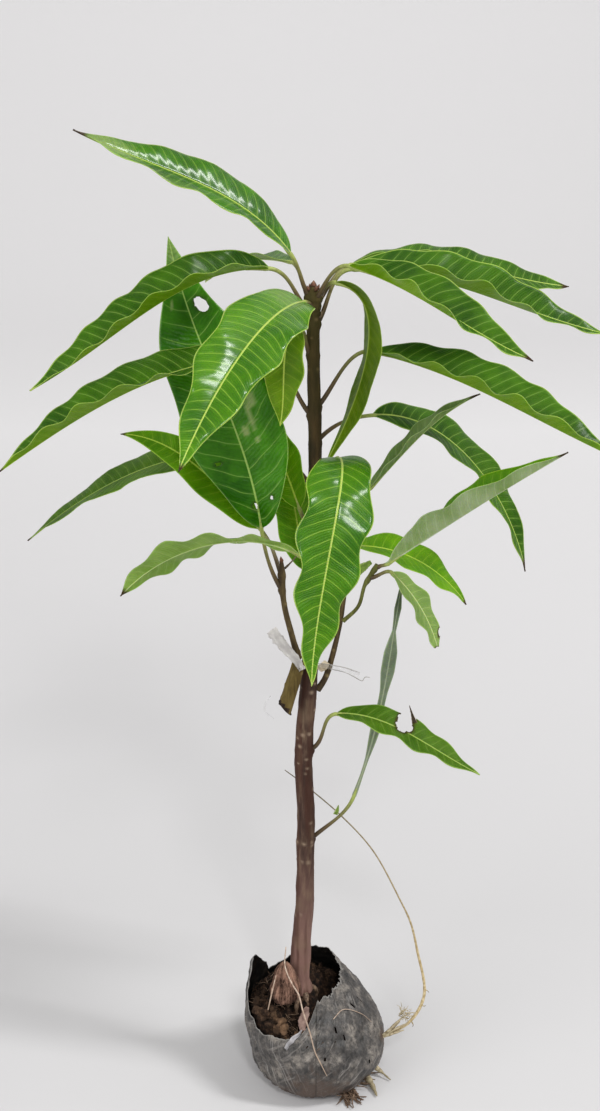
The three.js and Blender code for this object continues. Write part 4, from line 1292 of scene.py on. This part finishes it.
def root_pieces():
    front = [(-21.9, -11, 108.7), (-22.6, -14, 95.2), (-17.5, -25, 88), (-13, -29, 82), (-9.9, -37, 74),
             (-5, -44, 61), (-1.6, -48, 48.8), (3, -51.5, 40), (6.8, -51.5, 31)]
    left = [(-28.8, -25, 95), (-31.5, -30, 85), (-34.3, -35, 73.7)]
    across = [on_film(*spot) for spot in ((292, 0.93), (315, 0.9), (336, 0.78), (343, 0.68))]
    parts = [
        strand(front, (0.45, 0.5, 0.55, 0.5, 0.4, 0.25), 90, 8, 0.3),
        strand(left, (0.3, 0.42, 0.4), 24, 7, 0.3),
        strand(across, (0.3, 0.26, 0.14), 30, 6, 0.3),
    ]
    finish_piece(parts, "thin_roots", [thin_root], ())

    draw = random.Random(31)
    straws = []
    for end in ((63.7, -6, 47.9), (62.9, -10, 38), (58, -9, 44), (66, -9, 43.5), (60.5, -3, 40)):
        start = Vector((47.5, -8, 30.8)) + jitter(draw, 0.8, 0.8, 0.8)
        middle = start.lerp(Vector(end), 0.55) + Vector((0, 0, draw.uniform(-1.2, 0.6)))
        straws.append(strand([start, middle, end], (0.9, 1.0, 0.35), 22, 7, 0.3))
    for _ in range(26):
        start = Vector((62, -6, 48)) + jitter(draw, 3.5, 3.5, 3.5)
        curve = fray(draw, start, (0.4, 0.1, 0.5), draw.uniform(5, 10), 0.9)
        straws.append(strand(curve, (0.28, 0.14), 12, 5, 0.3))
    finish_piece(straws, "straws", [pale_straw], ())

    draw = random.Random(47)
    rootlets = []
    for _ in range(34):  # a matted tuft under the front right of the foot
        start = Vector((22.5, -32, 1.2)) + Vector([draw.uniform(*r) for r in ((-4, 4), (-2, 2), (0, 4))])
        curve = fray(draw, start, (draw.uniform(-0.1, 0.6), -1, -0.1), draw.uniform(8, 19), 0.55)
        rootlets.append(strand(curve, (draw.uniform(0.4, 1.2), 0.3), 16, 6, 0.5))
    for _ in range(12):
        azimuth = draw.uniform(300, 345)
        start = heading(azimuth) * 38 + Vector((0, 0, draw.uniform(0.8, 5)))
        curve = fray(draw, start, heading(azimuth + draw.uniform(-30, 30), -12), draw.uniform(5, 11), 0.5)
        rootlets.append(strand(curve, (draw.uniform(0.4, 0.8), 0.3), 14, 6, 0.4))
    for _ in range(60):
        azimuth = draw.choice((draw.uniform(120, 300), draw.gauss(240, 30)))
        spot, _ = soil_top(azimuth, draw.uniform(0.06, 0.8))
        curve = fray(draw, spot, (draw.uniform(-1, 1), draw.uniform(-1, 1), 0.02), draw.uniform(4, 11), 0.4)
        rootlets.append(strand(curve, (0.3, 0.14), 12, 5, 0.3))
    for azimuth, length in ((205, 15), (232, 17), (262, 14), (300, 13), (20, 12)):
        foot = Vector((*SOIL["foot"], 67)) + heading(azimuth) * 7.5
        end = foot + heading(azimuth, -62) * length
        points = [foot, foot.lerp(end, 0.5) + heading(azimuth) * 2.5, end]
        rootlets.append(strand(points, (2.6, 1.6, 0.8), 18, 10, 0.3))
    finish_piece(rootlets, "brown_rootlets", [brown_root], ())

    long = [(35.0, -17, 4.5), (37.6, -21, 3.6), (40.2, -27, 2.8), (42.8, -36, 1.4)]
    short = [(42, -10, 6.5), (47, -13, 4.0), (53.5, -18.5, 1.2)]
    fat = [strand(long, (1.6, 2.2, 1.7, 0.4), 40, 12, 0.5), strand(short, (1.5, 1.3, 0.35), 30, 10, 0.5)]
    finish_piece(fat, "fat_roots", [fat_root], ())


husk_piece()
root_pieces()
DRY_ROOT = through([(48.3, -7.7, 31), (67, -6, 42), (77.5, 0, 60), (72, 5, 95), (67, 8, 116), (59, 10, 134),
                    (39, 12, 173), (16, 14, 200), (-10, 15, 224), (-22.5, 14, 235)])
dry_root = [strand(DRY_ROOT, (1.0, 1.15, 1.1, 0.95, 0.7, 0.55, 0.5, 0.45, 0.4, 0.3), 160, 8, 0.2)]
draw = random.Random(3)
for share in (0.12, 0.19, 0.24):
    dry_root.append(strand(fray(draw, DRY_ROOT(share), (0.5, 0, -0.6), 7, 0.5), (0.5, 0.2), 12, 6, 0.3))
finish_piece(dry_root, "dry_root_strand", [long_root], ["dry_root"])

# %% [markdown]
# ## Tape, scraps and buds
# The graft was bound with clear film. A cloudy end of it stands off to the left, two stretched edges trail
# away to the right, and a cream bit is stuck behind the right shoot. The shoots end in small scaly buds.

# %% Tape, scraps and buds
def film_material(name, first, second, see_through, roughness):
    """Stretched polythene; wrinkles make it cloudy."""
    material, tree, place = start_material(
        name, Roughness=roughness, IOR=1.3, Transmission_Weight=see_through, Specular_IOR_Level=0.4,
    )
    wrinkles = cloud(tree, place, 160.0, 4.0)
    base = blend(tree, spread(tree, wrinkles, 0.35, 0.65), first, second)
    return end_material(material, Base_Color=base, Normal=relief(tree, (wrinkles, 0.5, 0.0004)))


cloudy_film = film_material("grafting_film_cloudy", "#c9c5c1", "#dedbd8", 0.25, 0.4)
clear_film = film_material("grafting_film_clear", "#f2f1f0", "#ffffff", 0.96, 0.15)
film_edge = film_material("grafting_film_edge", "#a5a19c", "#bdb9b5", 0.2, 0.4)
cream_film = film_material("grafting_film_cream", "#c5b599", "#ddd0b8", 0.1, 0.5)
grey_film = film_material("polythene_grey_scrap", "#8b898b", "#bbb8bb", 0.0, 0.45)
mauve_film = film_material("polythene_muddy_scrap", "#5f4a44", "#927a70", 0.0, 0.6)

flap = ribbon([(-10.5, -12.0, 322), (-14, -13, 329), (-20, -15, 337), (-26, -15.6, 345), (-30.5, -16, 352)],
              (4.4, 5.2, 6.6, 7.6, 7.2), (0.62, 0.1, 0.78), 0.25, 60, 14, 1.5, 0.25)
finish_piece(flap, "grafting_tape_flap", [cloudy_film], ["grafting_tape_left"])

trail = [(-3, -5.9, 323), (8, -6.6, 321.8), (18, -7, 319.6), (27, -6.4, 316)]
upper = [(8, -6.6, 323.4), (18, -7, 321.4), (27.5, -6.4, 317.6)]
lower = [(8, -6.6, 320.4), (18, -7, 318.0), (24, -6.6, 314.6), (29.2, -6, 311.6), (31, -6, 314.2),
         (34.2, -6, 314)]
tail = [
    ribbon(trail, (3.2, 3.2, 3.0, 1.6), (0.1, 0.1, 1), 0.2, 40, 6, 0.3, 0.1, 0),
    strand(upper, (0.3, 0.35, 0.2), 40, 6, 0.3, 1),
    strand(lower, (0.3, 0.35, 0.3, 0.25), 60, 6, 0.3, 1),
    ribbon([(0.4, -4.0, 318.6), (3.2, -5.2, 321.4), (6.0, -5.0, 324.6)], (5.0, 6.2, 4.6),
           (0.62, 0.1, -0.78), 0.3, 16, 8, 0.6, 0.3, 2),
]
finish_piece(tail, "grafting_tape_tail", [clear_film, film_edge, cream_film], ["grafting_tape_right"])

scraps = [
    ribbon([(-9.5, -38, 60), (-14, -42.5, 58), (-18.5, -46, 55.5), (-22.3, -49, 52)],
           (1.2, 3.4, 4.6, 4.2), (0.59, 0.46, 0.66), 0.3, 24, 8, 1.0, 0.2),
    ribbon([(-31.5, -12.5, 303.5), (-34.6, -13, 299), (-35, -13.5, 293), (-29.5, -14, 287.8)],
           (0.5, 1.1, 1.0, 0.4), (0.8, 0, 0.5), 0.2, 24, 3, 0.4, 0.3, 1),
    ribbon([(-10.5, -39.5, 60), (-10.0, -35.5, 64.5), (-8.4, -31.5, 68), (-6.8, -28.5, 71.5)],
           (4.0, 6.4, 6.0, 2.4), (1, -0.1, 0.1), 0.3, 24, 8, 1.4, 0.35, 2),
]
finish_piece(scraps, "film_scraps", [grey_film, clear_film, mauve_film], ())


def scale_colours(name, foot, middle, tip):
    """Skin of a bud or a dead bit, by the mark value from its foot to its tip."""
    material, tree, place = start_material(name, Roughness=0.65, Specular_IOR_Level=0.3)
    base = shades(tree, attribute(tree, "mark"), (0, foot), (0.5, middle), (1, tip))
    shade = spread(tree, cloud(tree, place, 700.0, 3.0), 0.35, 0.65, 1.15, 0.7)
    return end_material(material, Base_Color=blend(tree, 1.0, base, shade, "MULTIPLY"))


bud_skin = scale_colours("mango_bud_scales", "#3c3018", "#643e2c", "#7e5c48")
dead_skin = scale_colours("mango_dead_stalk", "#3a3022", "#6b5a44", "#8b7a62")
fresh_skin = scale_colours("mango_young_leaf", "#6f8a34", "#8aa34e", "#a9b878")


def bud(foot, along, length, radius, seed):
    """Three overlapping whorls of scales that close to a point."""
    along = Vector(along).normalized()

    def place(share, turn):
        size = radius * value_along((0.85, 1.05, 1.1, 0.85, 0.5, 0.12), share)
        scales = 0.14 * math.sin(3 * turn + seed + 2.1 * math.floor(share * 3))
        size *= 1 + scales + 0.12 * (1 - (share * 3) % 1)
        return foot + along * (length * share) + arm(along, (0.2, 1, 0.1), turn) * size, share

    return tube(24, 18, place)


SUNK = Vector((0, 0, 1))  # a bud starts a millimetre inside its stem
top = limb_at("main_stem", 1)[0]
buds = [bud(top - SUNK, (0.1, 0, 1), 4.6, 1.7, 1)]
for azimuth in (30, 120, 215, 300):
    buds.append(bud(top + heading(azimuth) * 3.0 - SUNK * 2.5, heading(azimuth, 66), 3.8, 0.9, azimuth))
buds.append(bud(limb_at("left_shoot", 1)[0] - SUNK, (-0.1, 0, 1), 4.8, 1.1, 2))
buds.append(bud(limb_at("right_shoot", 1)[0] - SUNK, (-0.1, 0, 1), 4, 1.1, 3))
finish_piece(buds, "buds", [bud_skin], ())

dead = [strand([(-21.8, -8, 391.5), (-17.5, -8, 396), (-12.9, -8, 401.6)], (0.75, 0.6, 0.35), 18, 7, 0.3)]
for azimuth in (190, 250, 330):
    centre, _, radius = limb_at_height("main_stem", 552)
    foot = centre + heading(azimuth) * (radius + 0.2)
    points = [foot, foot + heading(azimuth, 50) * 2.5, foot + heading(azimuth, 70) * 5]
    dead.append(strand(points, (0.8, 0.6, 0.2), 10, 6, 0.3))
shrivelled = [(66, -14.5, 279), (63.8, -13.4, 285), (62, -13, 291), (60.2, -13, 297)]  # in the torn leaf
dead.append(ribbon(shrivelled, (4.0, 3.4, 1.4, 0.4), (1, 0, 0.2), 0.3, 20, 6, 0.8, 0.3))
finish_piece(dead, "dead_stalks", [dead_skin], ())

young = [
    ribbon([(34, -1.2, 393.5), (28.6, -2.2, 390), (23.4, -2.6, 384.4)], (2.6, 6.4, 5.2),
           (0.5, 0.2, -0.8), 0.35, 18, 10, 1.2, 0.25),
    ribbon([(12.4, -0.5, 208.4), (13.6, -0.8, 212), (14.4, -1, 216)], (3.4, 2.6, 0.5),
           (1, 0.2, 0), 0.3, 10, 4, 0.5, 0.2),
]
finish_piece(young, "young_leaf_bits", [fresh_skin], ())

# %% [markdown]
# ## Floor, light and backdrop
# A pale sweep that curves up far behind the plant gives an even ground. A tall narrow lamp from the upper
# right makes the streaks of gloss on the leaves, and a pale world fills the shadows.

# %% Stage
SWEEP = dict(front=-1500, flat=4300, whole=8600, bend=900, half_width=6000, below=0.2)  # millimetres


def stage_sweep():
    bm = bmesh.new()
    bmesh.ops.create_grid(bm, x_segments=1, y_segments=48, size=1)
    radius = SWEEP["bend"]
    for v in bm.verts:
        along = (v.co.y + 1) / 2 * SWEEP["whole"]
        bend = max(along - SWEEP["flat"], 0) / radius
        turn = min(bend, math.pi / 2)
        rise = radius * (1 - math.cos(turn)) + max(bend - math.pi / 2, 0) * radius
        back = min(along, SWEEP["flat"]) + SWEEP["front"] + radius * math.sin(turn)
        v.co = Vector((v.co.x * SWEEP["half_width"], back, rise - SWEEP["below"]))
    material, tree, place = start_material("studio_paper", Roughness=0.9, Emission_Strength=0.11)
    # the paper is a little greyer under the plant, where the lamps stand closest, and glows beyond it
    far = spread(tree, add(tree, "SeparateXYZ", {"Vector": place}, "Y"), 0.2, 1.8)
    glow = blend(tree, far, "#000000", "#ffffff")
    end_material(material, Base_Color=blend(tree, far, "#c9c8c9", "#eeedee"), Emission_Color=glow)
    sweep = new_object(bm, "sweep", [material])


def lamp(name, place, target, width, height, watts):
    """A rectangular lamp; places and sizes in millimetres."""
    light = bpy.data.lights.new(name, "AREA")
    light.shape = "RECTANGLE"
    light.size = width * MM
    light.size_y = height * MM
    light.energy = watts
    lamp_object = bpy.data.objects.new(name, light)
    lamp_object.location = Vector(place) * MM
    lamp_object.rotation_euler = (Vector(target) - Vector(place)).to_track_quat("-Z", "Y").to_euler()
    bpy.context.collection.objects.link(lamp_object)


stage_sweep()
lamp("window", (1480, -388, 2085), (-60, -30, 590), 240, 860, 36)
lamp("overhead", (300, -1560, 1800), (0, 0, 450), 300, 300, 14)
lamp("fill", (-1300, -900, 900), (0, 0, 350), 1200, 1200, 12)
world = bpy.data.worlds.new("studio")
world.use_nodes = True
world.node_tree.nodes["Background"].inputs["Color"].default_value = colour("#f7f6f5")
world.node_tree.nodes["Background"].inputs["Strength"].default_value = 0.55
bpy.context.scene.world = world
bpy.context.scene.view_settings.view_transform = "Standard"
print("stage ready")
